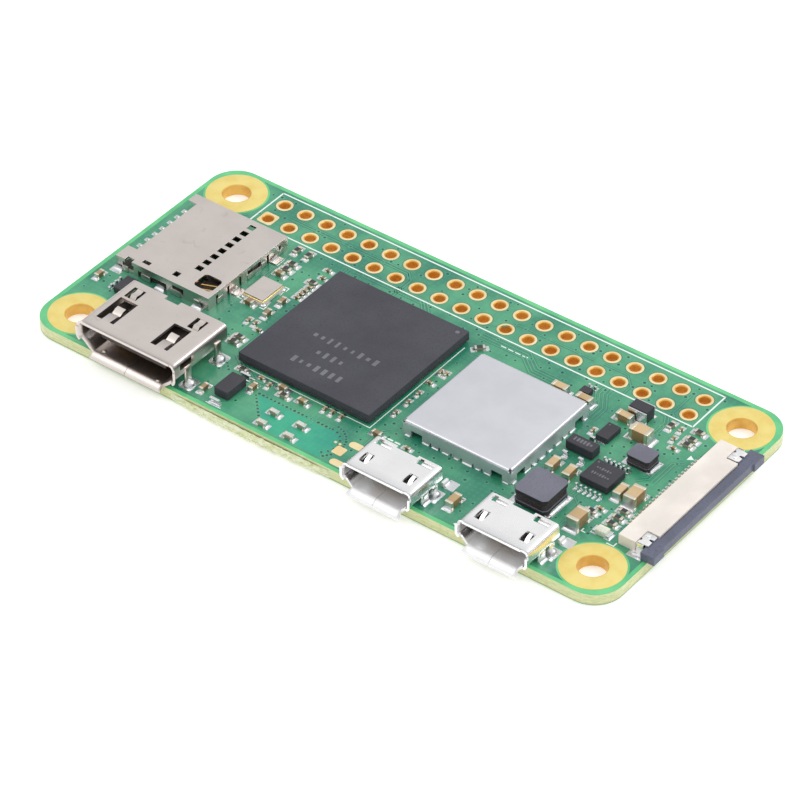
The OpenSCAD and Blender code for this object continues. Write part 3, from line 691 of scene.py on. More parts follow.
LEADS = "power_ic_leads regulator_leads diode_leads transistor_leads esd_array_leads"
FINISHES = (
    # look, width of the broken edges, CAD nodes
    ("board", 0, "pcb"),
    ("processor", 0.07, "processor_cap"),
    ("mould", 0.1, "regulator_body"),
    ("mould", 0.08, "diode_body"),
    ("mould", 0.06, "power_ic_body filter_inductor_body"),
    ("mould", 0.05, "transistor_body esd_array_body"),
    ("mould", 0.04, "switch_ic_body"),
    ("mould", 0.03, "radio_chip"),
    ("mould", 0.02, "processor_substrate"),
    ("tan_dark", 0.03, "radio_passives"),
    ("lamp", 0.05, "activity_led_body"),
    ("cream", 0.05, "crystal_base camera_housing"),
    ("slate", 0.05, "camera_latch"),
    ("shell", 0.06, "card_socket_shell"),
    ("shell", 0.05, "crystal_lid"),
    ("ferrite", 0.035, "power_inductor_core"),
    ("ferrite", 0.03, "buck_inductor_core"),
    ("solder", 0, "processor_solder_balls"),
    ("tin", 0, "leg_slot_plating"),
    ("tin", 0.04, "filter_inductor_terminals activity_led_terminals"),
    ("tin", 0.03, LEADS),
    ("tin", 0.02, "power_inductor_terminals buck_inductor_terminals"),
    ("tin", 0.01, "switch_ic_terminals"),
    ("socket", 0.03, "card_socket_base hdmi_insulator usb_data_insulator usb_power_insulator"),
    ("contact", 0.02, "card_detect_springs"),
    ("contact", 0, "card_socket_contacts hdmi_contacts camera_contacts"),
    ("contact", 0, "usb_data_contacts usb_power_contacts"),
)


def paint(node, look, bevel):
    """Gives a CAD node its finish and breaks its sharp edges."""
    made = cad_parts[node]
    made.data.materials.clear()
    made.data.materials.append(LOOKS[look].mat)
    normals = made.data.attributes.get("custom_normal")
    if normals:
        made.data.attributes.remove(normals)
    made.data.polygons.foreach_set("use_smooth", [False] * len(made.data.polygons))
    if bevel:
        made.modifiers.new("weld", "WELD").merge_threshold = 1e-6
        flat = made.modifiers.new("flat", "DECIMATE")
        flat.decimate_type = "DISSOLVE"
        flat.angle_limit = radians(1)
        edge = made.modifiers.new("edges", "BEVEL")
        edge.width = bevel * MM
        edge.segments = 3 if bevel > 0.05 else 2
        edge.limit_method = "ANGLE"
        edge.angle_limit = radians(40)


for finish, broken, nodes in FINISHES:
    for node in nodes.split():
        paint(node, finish, broken)


def islands(node):
    """The separate solids of a node, each as its corner points in millimetres."""
    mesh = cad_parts[node].data
    points = [tuple(round(c / MM, 3) for c in v.co) for v in mesh.vertices]
    number = {p: i for i, p in enumerate(dict.fromkeys(points))}
    owner = list(range(len(number)))

    def find(i):
        while owner[i] != i:
            owner[i] = owner[owner[i]]
            i = owner[i]
        return i

    for face in mesh.polygons:
        first, *rest = [number[points[v]] for v in face.vertices]
        for other in rest:
            owner[find(other)] = find(first)
    groups = {}
    for p, i in number.items():
        groups.setdefault(find(i), []).append(p)
    return [np.array(g) for g in groups.values()]


def island_boxes(node):
    return [(points.min(0), points.max(0)) for points in islands(node)]


def chips(kind):
    """(centre, turn in degrees, length, width, height, terminal) of each chip of one case size."""
    ends = islands(kind + "_terminals")
    middles = np.array([(e.min(0) + e.max(0)) / 2 for e in ends])
    for body in islands(kind + "_bodies"):
        low, high = body.min(0), body.max(0)
        centre = (low + high) / 2
        near = np.argsort(np.linalg.norm(middles - centre, axis=1))[:2]
        along = middles[near[1]] - middles[near[0]]
        along[2] = 0
        gap = np.linalg.norm(along)
        along /= gap
        terminal = np.ptp(ends[near[0]] @ along)
        width = np.ptp(body @ np.array([-along[1], along[0], 0]))
        turn = degrees(atan2(along[1], along[0]))
        yield centre[:2], turn, gap + terminal, width, high[2] - low[2], terminal


# ---------------------------------------------------------------- board

QUARTERS = ((1, 1), (-1, 1), (-1, -1), (1, -1))
CORNERS = list(product((-HOLE_X, HOLE_X), (-HOLE_Y, HOLE_Y)))
HEADER = [tuple((low + high)[:2] / 2) for low, high in island_boxes("header_plated_holes")]
HEADER_FRAME = rectangle(-25.4, 9.0, 25.4, 14.2)
FRAME_SIDES = list(zip(HEADER_FRAME, HEADER_FRAME[1:] + HEADER_FRAME[:1]))
MOUNT_CLEAR = 3.2
EDGE_CLEAR = 0.45
ANTENNA = [
    (-8.7, -10.35), (0.2, -10.35), (1.2, -10.9), (1.75, -12.0), (1.7, -13.2), (1.2, -14.3),
    (-5.6, -14.3), (-7.3, -12.6),
]


def in_antenna(x, y):
    return -8.6 < x < 1.6 and y < -10.4


def pour_outline():
    """The copper stops short of the board's edge and goes round each mounting ring."""
    outline = []
    reach = INSET - EDGE_CLEAR
    lead = degrees(asin(sqrt(MOUNT_CLEAR ** 2 - reach ** 2) / MOUNT_CLEAR))
    for k, (sx, sy) in enumerate(QUARTERS):
        start, end = 90 * k - lead, 90 * k - 270 + lead
        outline += arc_path(sx * HOLE_X, sy * HOLE_Y, MOUNT_CLEAR, start, end, 28)
    return outline


def make_board():
    pads = [ring_outline(0.93, 24, p) for p in HEADER]
    for name, look, outlines, low, high in (
        ("copper_pour", "pour", [pour_outline(), ANTENNA] + pads, TOP + 0.002, SKIN),
        ("antenna_clearing", "antenna", [ANTENNA], TOP + 0.002, TOP + 0.008),
        ("underside_pour", "pour", [pour_outline()] + pads, -0.012, -0.002),
    ):
        sheet(name, look, "mask_green", outlines, low, high)
    rings = Piece("mounting_rings", "ring", "gold_plating")
    walls = Piece("mounting_hole_walls", "barrel", "gold_plating")
    wall = (
        (-0.02, 0.01), (0.02, -0.02), (0.05, -0.028), (0.03, 0.0), (0.03, TOP),
        (0.07, TOP + 0.03), (0.02, TOP + 0.026), (-0.02, TOP - 0.02),
    )
    for (x, y), (z, s) in product(CORNERS, FACES):
        rings.stamp(lathe([
            (HOLE_R + 0.02, z), (RING_R, z), (RING_R, z + s * 0.022), (RING_R - 0.03, z + s * 0.032),
            (HOLE_R + 0.08, z + s * 0.032), (HOLE_R + 0.02, z + s * 0.02)], 64), (x, y, 0))
    for x, y in CORNERS:
        walls.stamp(lathe([(HOLE_R + out, z) for out, z in wall], 48), (x, y, 0))
    finish_all(rings, walls)


make_board()


def make_header():
    """Pale pad rings with a dark line round each, and copper coloured funnels in the holes."""
    first = min(HEADER, key=sum)
    bore, lip, pad = 0.5, 0.6, 0.85
    top = Piece("header_pads", "pad", "gold_plating")
    tube = Piece("header_barrels", "copper", "gold_plating")
    line = Piece("header_pad_gaps", "gap", "mask_green")
    funnel = lathe([
        (bore - 0.004, 0.03), (lip, -0.028), (lip, 0.0), (bore + 0.03, 0.04),
        (bore + 0.03, TOP - 0.04), (lip, TOP), (lip, TOP + 0.03), (bore + 0.02, TOP - 0.03),
        (bore - 0.004, TOP - 0.08)], 28)
    for x, y in HEADER:
        # The first pad is square
        edge = pad - 0.05 if (x, y) == first else None
        for z, s in FACES:
            top.stamp(lathe([
                (lip, z - s * 0.03), (lip + 0.01, z + s * 0.03), (lip + 0.05, z + s * 0.046),
                (pad - 0.06, z + s * 0.042), (pad, z + s * 0.014), (pad, z - s * 0.03),
            ], 28, edge), (x, y, 0))
            line.stamp(lathe([
                (pad, z), (pad + 0.08, z), (pad + 0.08, z + s * 0.017), (pad, z + s * 0.008),
            ], 28, edge), (x, y, 0))
        tube.stamp(funnel, (x, y, 0))
    top.done("header_plated_holes")
    finish_all(tube, line)


make_header()


def side_by_side(path, count, pitch):
    """Copies of a path, each shifted across it, as in a bundle of traces."""
    for k in range(count):
        shift = (k - (count - 1) / 2) * pitch
        ways = [heading(path, i) for i in range(len(path))]
        yield [(x - d.y * shift, y + d.x * shift) for (x, y), d in zip(path, ways)]


TRACE_RUNS = (
    # path, how many side by side, pitch
    ([(2.6, 8.3), (7.6, 8.3), (9.4, 6.9), (12.2, 6.9)], 4, 0.34),
    ([(16.2, 9.0), (16.2, 7.9), (17.3, 6.2), (17.3, 4.6)], 4, 0.36),
    ([(27.6, 4.4), (26.9, 3.7), (26.9, 0.6)], 2, 0.34),
    ([(26.2, 3.2), (26.2, 0.8), (25.4, 0.0)], 2, 0.34),
    ([(18.9, 8.6), (19.6, 8.6)], 1, 0.3),
    ([(21.5, 9.2), (22.7, 8.9), (23.2, 8.0), (23.2, 6.2)], 2, 0.34),
    ([(14.0, 11.5), (16.6, 11.5), (17.78, 10.3), (17.78, 9.2)], 1, 0.3),
    ([(-22.5, 11.5), (-8.4, 11.5), (-7.62, 10.7), (-7.62, 7.2)], 2, 0.3),
    ([(-12.4, 8.9), (-4.6, 8.9), (-3.2, 7.4)], 3, 0.34),
    ([(-13.2, 8.6), (-13.2, 3.2)], 2, 0.3),
    ([(-18.8, 6.8), (-18.8, 3.2), (-18.3, 2.6)], 2, 0.32),
    ([(-13.4, -7.4), (-10.2, -9.6), (-8.9, -9.6)], 3, 0.3),
    ([(-13.6, -3.0), (-13.6, -6.8), (-12.9, -7.6)], 2, 0.3),
    ([(3.6, 5.6), (4.6, 5.6), (4.6, -3.0)], 1, 0.3),
    ([(4.2, -7.6), (3.6, -8.2), (3.6, -10.6)], 2, 0.32),
    ([(9.2, -10.8), (9.2, -9.4), (4.6, -9.4), (3.0, -8.6)], 2, 0.3),
    ([(18.0, -8.9), (18.0, -10.4)], 1, 0.3),
    ([(22.4, -4.4), (22.4, -5.0), (23.6, -6.0), (23.6, -8.6)], 1, 0.3),
    ([(21.9, -4.2), (21.9, -4.9)], 1, 0.3),
    ([(26.0, -9.6), (24.2, -9.6), (23.0, -10.6)], 1, 0.3),
    ([(-24.4, -8.0), (-27.2, -8.0), (-28.4, -9.0)], 1, 0.3),
    ([(-31.4, 8.4), (-27.4, 8.4), (-26.0, 9.6)], 1, 0.3),
    ([(1.8, 9.2), (4.4, 11.4), (13.0, 11.4)], 1, 0.3),
    ([(22.86, 12.6), (22.86, 9.6), (24.0, 8.5)], 1, 0.3),
)


def lay_traces(bundles, gap, copper, skin, outward):
    """Raised lines in the mask, each with the darker gap that parts it from the pour."""
    for bundle in bundles:
        for run in side_by_side(*bundle):
            for piece, width, rise in ((gap, 0.27, 0.003), (copper, 0.13, 0.011)):
                piece.stamp(prism(stroke(run, width), *sorted((skin, skin + outward * rise))))


def make_traces():
    copper = Piece("traces", "trace", "mask_green")
    gap = Piece("trace_gaps", "gap", "mask_green")
    lay_traces(TRACE_RUNS, gap, copper, SKIN, 1)
    # Reference lines of the antenna feed
    for run in side_by_side([(-2.4, -9.4), (-2.4, -11.4)], 2, 0.5):
        copper.stamp(prism(stroke(run, 0.12), SKIN, SKIN + 0.01))
    finish_all(copper, gap)


make_traces()

# Where parts stand, so that no free via is put under their edges
BUSY = [
    (low[0] - 0.25, low[1] - 0.25, high[0] + 0.25, high[1] + 0.25)
    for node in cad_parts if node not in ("pcb", "header_plated_holes", "leg_slot_plating")
    for low, high in island_boxes(node) if low[2] < TOP + 0.4
]


def clear_of(x, y, spots, distance):
    return all(hypot(x - a, y - b) >= distance for a, b in spots)


def is_free(x, y, margin=0.0):
    if abs(x) > BOARD_X - 0.9 or abs(y) > BOARD_Y - 0.9:
        return False
    if not (clear_of(x, y, CORNERS, INSET) and clear_of(x, y, HEADER, 1.05)):
        return False
    return not any(
        a - margin < x < c + margin and b - margin < y < d + margin for a, b, c, d in BUSY)


VIA_PITCH, VIA_SPACING, VIA_COUNT, VIA_TRIES, UNDER_VIA_TRIES = 0.46, 0.7, 330, 6000, 420


def make_vias():
    """Small plugged holes: fences round the antenna, and singles scattered over the pour."""
    dark = Piece("via_plugs", "via", "mask_green")
    lip = Piece("via_lips", "trace", "mask_green")
    spots = []
    for path in (
        [(-8.9, -10.6), (0.1, -10.6)], [(-8.9, -10.6), (-5.6, -14.1)],
        [(-5.6, -14.1), (0.9, -14.1)], arc_path(-0.1, -12.3, 1.75, 90, -70),
        arc_path(-0.1, -12.3, 2.3, 84, -66), [(-13.9, -8.6), (-12.5, -9.9)],
        [(28.0, -9.4), (29.6, -8.7)], [(16.2, -8.8), (17.4, -8.8)],
    ):
        path = [Vector(p) for p in path]
        for a, b in zip(path, path[1:]):
            count = max(1, round((b - a).length / VIA_PITCH))
            spots += [tuple(a.lerp(b, i / count)) for i in range(count)]
    tries = 0
    while len(spots) < VIA_COUNT and tries < VIA_TRIES:
        tries += 1
        x, y = rng.uniform(-31.4, 31.4), rng.uniform(-14, 13.9)
        alone = is_free(x, y, 0.1) and clear_of(x, y, spots, VIA_SPACING)
        if alone and not in_antenna(x, y):
            spots.append((x, y))
    plug = prism(ring_outline(0.12, 10), 0, 0.004)
    collar = lathe([(0.13, 0), (0.25, 0), (0.23, 0.008), (0.16, 0.012), (0.13, 0.006)], 12)
    for x, y in spots:
        if is_free(x, y):
            size = rng.uniform(0.8, 1.2)
            dark.stamp(plug, (x, y, SKIN), scale=(size, size, 1))
            lip.stamp(collar, (x, y, SKIN), scale=(size, size, 1))
    finish_all(dark, lip)


make_vias()


def make_silk():
    ink = Piece("silk_lines", "silk", "mask_green")

    def line(*path, width=0.1):
        ink.stamp(prism(stroke(path, width), SKIN, SKIN + 0.012))

    def corner(x, y, dx, dy, width=0.12):
        line((x + dx, y), (x, y), (x, y + dy), width=width)

    for side in FRAME_SIDES:
        line(*side, width=0.15)
    low, high = box_mm("processor_cap")
    right, front = high.x + 0.22, low.y - 0.22
    line((low.x + 0.3, front), (right, front), (right, high.y - 1.0))
    # First contact mark of the camera socket
    ink.stamp(prism([(27.5, 5.65), (28.05, 5.3), (27.5, 4.95)], SKIN, SKIN + 0.012))
    corner(28.95, -8.35, -0.75, 0.5)
    corner(25.55, -8.35, 0.4, 0.4)
    low, high = box_mm("diode_leads")
    for y in (low.y - 0.15, high.y + 0.15):
        line((low.x - 0.3, y), (high.x + 0.3, y))
    low, high = box_mm("crystal_base")
    for x, dx in ((low.x - 0.3, 0.5), (high.x + 0.3, -0.5)):
        for y, dy in ((low.y - 0.3, 0.5), (high.y + 0.3, -0.5)):
            corner(x, y, dx, dy, 0.1)
    low, high = box_mm("power_ic_body")
    line((low.x - 0.35, high.y + 0.1), (low.x - 0.35, high.y - 0.5), width=0.12)
    # Short even bars stand where the real board has words
    for x0, y0, count in ((5.2, 8.05, 4), (4.1, -8.62, 3)):
        for i in range(count):
            bar = rounded_outline(0.3, 0.09, 0.05, 3, (x0 + 0.8 * i, y0))
            ink.stamp(prism(bar, SKIN, SKIN + 0.01))
    ink.done()


make_silk()


def make_edge_burr():
    """The rough stub where the board was snapped from its panel, on the front edge."""
    burr = Piece("panel_stub", "fibres", "mask_green")
    steps, rows = 90, 4
    x0, x1 = -15.3, 3.2
    points = []
    for i in range(steps + 1):
        t = i / steps
        swell = sin(pi * t) ** 0.35
        for k in range(rows + 1):
            h = k / rows
            out = swell * (0.62 * sin(pi * (0.22 + 0.7 * (1 - h))) + rng.uniform(-0.1, 0.1))
            inner = 0 < k < rows
            y = -BOARD_Y + 0.05 - max(0.0, out) * (1 if inner else 0.45)
            points.append((x0 + (x1 - x0) * t, y, 0.02 + 0.86 * h + inner * rng.uniform(-0.05, 0.05)))
    burr.stamp((points, grid_faces(steps, rows + 1)))
    burr.done(smooth=False)


make_edge_burr()

UNDER_SKIN = -0.012
UNDER_PAD_ROWS = (
    # first x, first y, step in x, step in y, how many, radius
    (-26.4, 5.6, 2.54, 0, 4, 0.62), (-14.5, 5.6, 0, -2.54, 4, 0.62), (9.4, -11.6, 2.54, 0, 3, 0.62),
    (-9.0, -3.0, 2.54, 0, 6, 0.5), (-9.0, -5.54, 2.54, 0, 6, 0.5), (12.6, 5.2, 2.54, 0, 3, 0.62),
    (22.4, -3.0, 0, 2.54, 4, 0.5), (-2.0, 3.6, 1.9, 0, 4, 0.4), (-24.0, -7.0, 1.9, -1.0, 3, 0.5),
)
UNDER_PITCH = 0.36
UNDER_RUNS = (
    # path, how many side by side
    ([(-26.4, 4.6), (-24.0, 2.2), (-16.2, 2.2), (-14.5, 0.5)], 5),
    ([(-8.0, -6.4), (-6.0, -8.4), (6.0, -8.4), (8.6, -10.8)], 4),
    ([(4.6, -2.6), (8.0, 0.8), (8.0, 7.6)], 6),
    ([(13.0, 4.4), (15.0, 2.4), (20.0, 2.4), (21.6, 0.8)], 4),
    ([(-20.0, 8.6), (-12.0, 8.6), (-9.5, 6.1), (-3.0, 6.1)], 5),
    ([(14.6, -10.8), (18.0, -7.4), (26.0, -7.4), (28.4, -5.0), (28.4, 5.0)], 3),
    ([(-28.6, -6.0), (-28.6, 3.0), (-26.0, 5.6)], 3),
)


def make_underside():
    """Round test pads, traces, vias, the joints of the socket legs and a plain white frame."""
    pads = Piece("underside_pads", "pad", "gold_plating")
    gaps = Piece("underside_gaps", "gap", "mask_green")
    lines = Piece("underside_traces", "trace", "mask_green")
    dots = Piece("underside_vias", "via", "mask_green")
    spots = [
        (x + dx * i, y + dy * i, r) for x, y, dx, dy, n, r in UNDER_PAD_ROWS for i in range(n)]
    for x, y, r in spots:
        pad = [(0, -0.03), (r - 0.03, -0.03), (r, -0.02), (r, 0), (0, 0)]
        gap = [(r, -0.013), (r + 0.12, -0.016), (r + 0.12, -0.004), (r, -0.004)]
        pads.stamp(lathe(pad, 24), (x, y, 0))
        gaps.stamp(lathe(gap, 24), (x, y, 0))
    lay_traces([(*run, UNDER_PITCH) for run in UNDER_RUNS], gaps, lines, UNDER_SKIN, -1)
    dot = prism(ring_outline(0.14, 10), UNDER_SKIN - 0.004, UNDER_SKIN)
    for _ in range(UNDER_VIA_TRIES):
        x, y = rng.uniform(-31, 31), rng.uniform(-14, 8.4)
        clear = all(hypot(x - a, y - b) > r + 0.4 for a, b, r in spots)
        if clear and clear_of(x, y, CORNERS, INSET):
            dots.stamp(dot, (x, y, 0))
    finish_all(pads, gaps, lines, dots)
    joints = Piece("underside_joints", "solder", "solder_tin")
    for low, high in island_boxes("leg_slot_plating"):
        x, y = (low + high)[:2] / 2
        half_x, half_y = (high - low)[:2] / 2 + 0.25
        shape = rounded_outline(half_x, half_y, min(half_x, half_y) * 0.98, 8)
        joints.stamp(prism(shape, 0, 0.05, 0.03, 3), (x, y, 0), scale=(1, 1, -1))
    joints.done()
    ink = Piece("underside_ink", "silk", "mask_green")
    corner = (-13.2, -1.2)
    for side in FRAME_SIDES + [(corner, (-10.4, -1.2)), (corner, (-13.2, -7.2))]:
        ink.stamp(prism(stroke(side, 0.15), UNDER_SKIN - 0.012, UNDER_SKIN))
    ink.done()


make_underside()

# ---------------------------------------------------------------- chips


def make_chips():
    """Two-terminal chips with rounded ends, each on its lands in hollow solder."""
    solder, lands = solder_and_lands("chip")
    pale = Piece("pale_chips", "pale", "ceramic_tan")
    film = Piece("resistor_films", "film", "mould_black")
    for kind, look, radius in (
        ("large_capacitor", "tan", 0.07), ("medium_capacitor", "tan", 0.05),
        ("small_capacitor", "tan_dark", 0.035), ("tiny_capacitor", "tan_dark", 0.02),
        ("resistor", "pale", 0.025),
    ):
        is_resistor = kind == "resistor"
        body = Piece(kind + "_ceramics", look, "mould_black" if is_resistor else "ceramic_tan")
        ends = Piece(kind + "_caps", "ends", "solder_tin")
        for (x, y), turn, length, width, height, terminal in chips(kind):
            askew = turn + rng.uniform(-2.5, 2.5)
            core = rounded_box(length - 0.08, width - 0.05, height - 0.03, radius * 0.7, 2, 0.01)
            cap = rounded_box(terminal, width, height, radius, 3)
            (pale if in_antenna(x, y) else body).stamp(core, (x, y, TOP), askew)
            if is_resistor:
                bare = length - 2 * terminal - 0.02
                skin = rounded_box(bare, width - 0.06, 0.03, 0.012, 1, height - 0.028)
                film.stamp(skin, (x, y, TOP), askew)
            reach = 0.16 + 0.14 * width
            half = terminal / 2 + reach / 2 + 0.08
            land = plate(half, width / 2 + 0.12, 0.07, 3, 0.008)
            for s in SIDES:
                a = radians(askew)
                middle = polar(s * (length - terminal) / 2, a, (x, y))
                ends.stamp(cap, (*middle, TOP), askew)
                rise = height * rng.uniform(0.55, 0.75)
                slope = fillet(width * 0.94, reach, rise, 0.05 + 0.05 * width)
                solder.stamp(slope, (*polar(s * length / 2, a, (x, y)), SKIN), askew + s * 90)
                at = s * (length / 2 - terminal + half - 0.02)
                lands.stamp(land, (*polar(at, radians(turn), (x, y)), TOP), turn)
        body.done(kind + "_bodies")
        ends.done(kind + "_terminals")
    finish_all(solder, lands, pale, film)


make_chips()

# ---------------------------------------------------------------- processor and radio


def marking_rows(piece, node, rows, height, bar, pitch):
    """Rows of short plain bars, where a real package has its printing."""
    cx, cy = middle_of(node)
    z = box_mm(node)[1].z
    for start, end, y in rows:
        x = cx + start
        while x < cx + end:
            half = bar / 2 * rng.uniform(0.75, 1.25)
            tall = height / 2 * rng.choice((0.55, 1, 1))
            outline = rounded_outline(half, tall, 0.05, 3, (x + half, cy + y))
            piece.stamp(prism(outline, z, z + 0.004))
            x += pitch


def make_processor():
    high = box_mm("processor_cap")[1]
    marks = Piece("processor_marks", "marking", "mould_black")
    rows = ((-3.6, 3.3, -1.3), (-1.8, 1.6, -3.2), (-3.1, 2.9, -5.15))
    marking_rows(marks, "processor_cap", rows, 0.85, 0.34, 0.86)
    dot = [(0.0, high.z), (0.21, high.z), (0.2, high.z + 0.004), (0.0, high.z + 0.004)]
    marks.stamp(lathe(dot, 20), (high.x - 0.8, high.y - 0.75, 0))
    marks.done()


make_processor()


def make_shield():
    low, high = box_mm("radio_shield_can")
    cx, cy = middle_of("radio_shield_can")
    half, top = (high.x - low.x) / 2, high.z - TOP
    edge, foot = 0.3, 0.03
    bend = [polar(edge, pi - radians(15 * k), (-half + edge, top - edge)) for k in range(1, 6)]
    wall = [(-half, foot), (-half, top - edge), *bend, (-half + edge, top)]
    arch = [(-x, z) for x, z in wall] + wall[::-1]
    slots = [(-7, 7, a, a + 1.2, -1, 0.74) for a in (-5.0, 3.8)]
    slots += [(-7, 7, a, a + 0.16, -1, 0.34) for a in (-2.9, -1.9, -0.6, 0.5, 1.8, 2.8)]
    slots += [(-7, 7, a, a + edge, top - edge - 0.02, 9) for a in (-half, half - edge)]
    can = Piece("shield_can", "shield", "shield_steel")
    rows = [-half + 0.02, -half + edge, half - edge, half - 0.02]
    can.stamp(formed_sheet(arch, rows, 0.2, slots), (cx, cy, TOP))
    no_top = slots + [(-half + edge, half - edge, -7, 7, top - 0.1, 9)]
    can.stamp(formed_sheet(arch, rows, 0.2, no_top), (cx, cy, TOP), 90)
    can.done("radio_shield_can")
    bead = Piece("shield_solder", "solder", "solder_tin")
    feet = (
        (-5.4, 0.6), (-3.4, 0.8), (-2.35, 0.6), (-1.2, 0.9), (0.0, 0.7), (1.2, 0.9),
        (2.35, 0.6), (3.4, 0.8), (5.4, 0.6),
    )
    for turn, ox, oy in ((0, 0, -1), (90, 1, 0), (180, 0, 1), (270, -1, 0)):
        for along, length in feet:
            at = polar(along, radians(turn), (cx + ox * half, cy + oy * half))
            long, reach = length * rng.uniform(0.6, 1.1), rng.uniform(0.08, 0.17)
            bead.stamp(fillet(long, reach, rng.uniform(0.05, 0.14), 0.06), (*at, SKIN), turn)
    bead.done()


make_shield()

# ---------------------------------------------------------------- leaded parts


def make_leaded():
    marks = Piece("small_part_marks", "marking", "mould_black")
    rows = ((-0.9, 0.7, 0.45), (-0.9, 0.9, -0.35))
    marking_rows(marks, "power_ic_body", rows, 0.34, 0.16, 0.27)
    marking_rows(marks, "regulator_body", ((-0.95, 0.9, 0.05),), 0.5, 0.2, 0.34)
    for node, size, x, y in (
        ("power_ic_body", 0.1, 0.35, 0.35), ("switch_ic_body", 0.08, 0.28, 0.3),
    ):
        low, high = box_mm(node)
        marks.stamp(dome(size, 0.006), (low.x + x, high.y - y, high.z))
    marks.done()
    # The solder that each lead foot stands in
    wet, lands = solder_and_lands("lead")
    for node in LEADS.split():
        middle = middle_of(node)[1]
        for low, high in island_boxes(node):
            x, y = (low + high)[:2] / 2
            if node == "esd_array_leads":
                turn, tip = -90, (low[0] + 0.08, y)
                wide = high[1] - low[1]
            else:
                turn, tip = (180, (x, high[1] - 0.08)) if y > middle else (0, (x, low[1] + 0.08))
                wide = high[0] - low[0]
            wet.stamp(fillet(wide * 1.1, 0.2, 0.12, 0.04), (*tip, SKIN), turn)
            at = polar(0.072, radians(turn - 90), tip)
            lands.stamp(plate(wide / 2 + 0.05, 0.26, 0.05, 3, 0.007), (*at, TOP), turn)
    for kind, grow in (
        ("power_inductor", 0.22), ("buck_inductor", 0.2), ("filter_inductor", 0.16),
        ("activity_led", 0.14), ("switch_ic", 0.16),
    ):
        for low, high in island_boxes(kind + "_terminals"):
            more = np.array((grow, grow * 0.6))
            outline = rectangle(*(low[:2] - more), *(high[:2] + more))
            lands.stamp(prism(outline, TOP, SKIN + 0.008, 0.008, 1))
    for node, slope in (
        ("power_inductor_core", (2.6, 0.32, 0.32, 0.1)),
        ("buck_inductor_core", (1.4, 0.26, 0.24, 0.08)),
    ):
        low, high = box_mm(node)
        for s, x in zip(SIDES, (low.x, high.x)):
            wet.stamp(fillet(*slope), (x + s * 0.05, middle_of(node)[1], SKIN), s * 90)
    finish_all(wet, lands)
    # Gold seal ring under the crystal's lid, and its corner pads
    low, high = box_mm("crystal_base")
    x, y = middle_of("crystal_base")
    long, deep = high.x - low.x - 0.04, high.y - low.y - 0.04
    seal = Piece("crystal_seal", "rim", "gold_plating")
    seal.stamp(rounded_box(long, deep, 0.16, 0.06, 3, high.z - 0.09), (x, y, 0))
    pads = Piece("crystal_pads", "tin", "solder_tin")
    for sx, sy in product(SIDES, SIDES):
        pads.stamp(plate(0.62, 0.52, 0.1, 4, 0.012, 0.01), (x + sx * 0.85, y + sy * 1.15, TOP))
        pads.stamp(dome(0.34, 0.2), (x + sx * 1.15, y + sy * 1.45, SKIN))
    finish_all(seal, pads)


make_leaded()


def wire_drum(name, node, turns):
    """A wound coil: rounded turns of wire round a square drum with soft corners."""
    low, high = box_mm(node)
    half_x, half_y = (high.x - low.x) / 2, (high.y - low.y) / 2
    pitch = (high.z - low.z) / turns
    coil = Piece(name, "winding", "winding_dark")
    points = []
    rings = turns * 4
    for k in range(rings + 1):
        z = low.z + (high.z - low.z) * k / rings
        grow = 0.05 * sin(pi * ((z - low.z) / pitch % 1))
        ring = rounded_outline(
            half_x - 0.06 + grow, half_y - 0.06 + grow, half_x * 0.3, 9, middle_of(node))
        points += [(x, y, z) for x, y in ring]
    coil.stamp((points, grid_faces(rings, len(ring), closed=True)))
    coil.done(node)


wire_drum("power_winding", "power_inductor_winding", 5)
wire_drum("buck_winding", "buck_inductor_winding", 4)

# ---------------------------------------------------------------- sockets


def trapezoid(width, height, knee, floor, r_top, r_knee, r_floor, seam=0.02):
    """The closed outline of a plug socket, from its seam in the floor round to the seam again."""
    half, low = width / 2, floor / 2
    right = [(seam, 0, 0), (low, 0, r_floor), (half, knee, r_knee), (half, height, r_top)]
    return rounded_path(right + [(-x, z, r) for x, z, r in right[::-1]])


def both_sides(x0, x1, *rest):
    return [(x0, x1, *rest), (-x1, -x0, *rest)]


def joint_blob(piece, x, y, radius, height):
    scale = (rng.uniform(0.9, 1.15), rng.uniform(0.9, 1.15), 1)
    piece.stamp(dome(radius, height, 14), (x, y, SKIN), scale=scale)


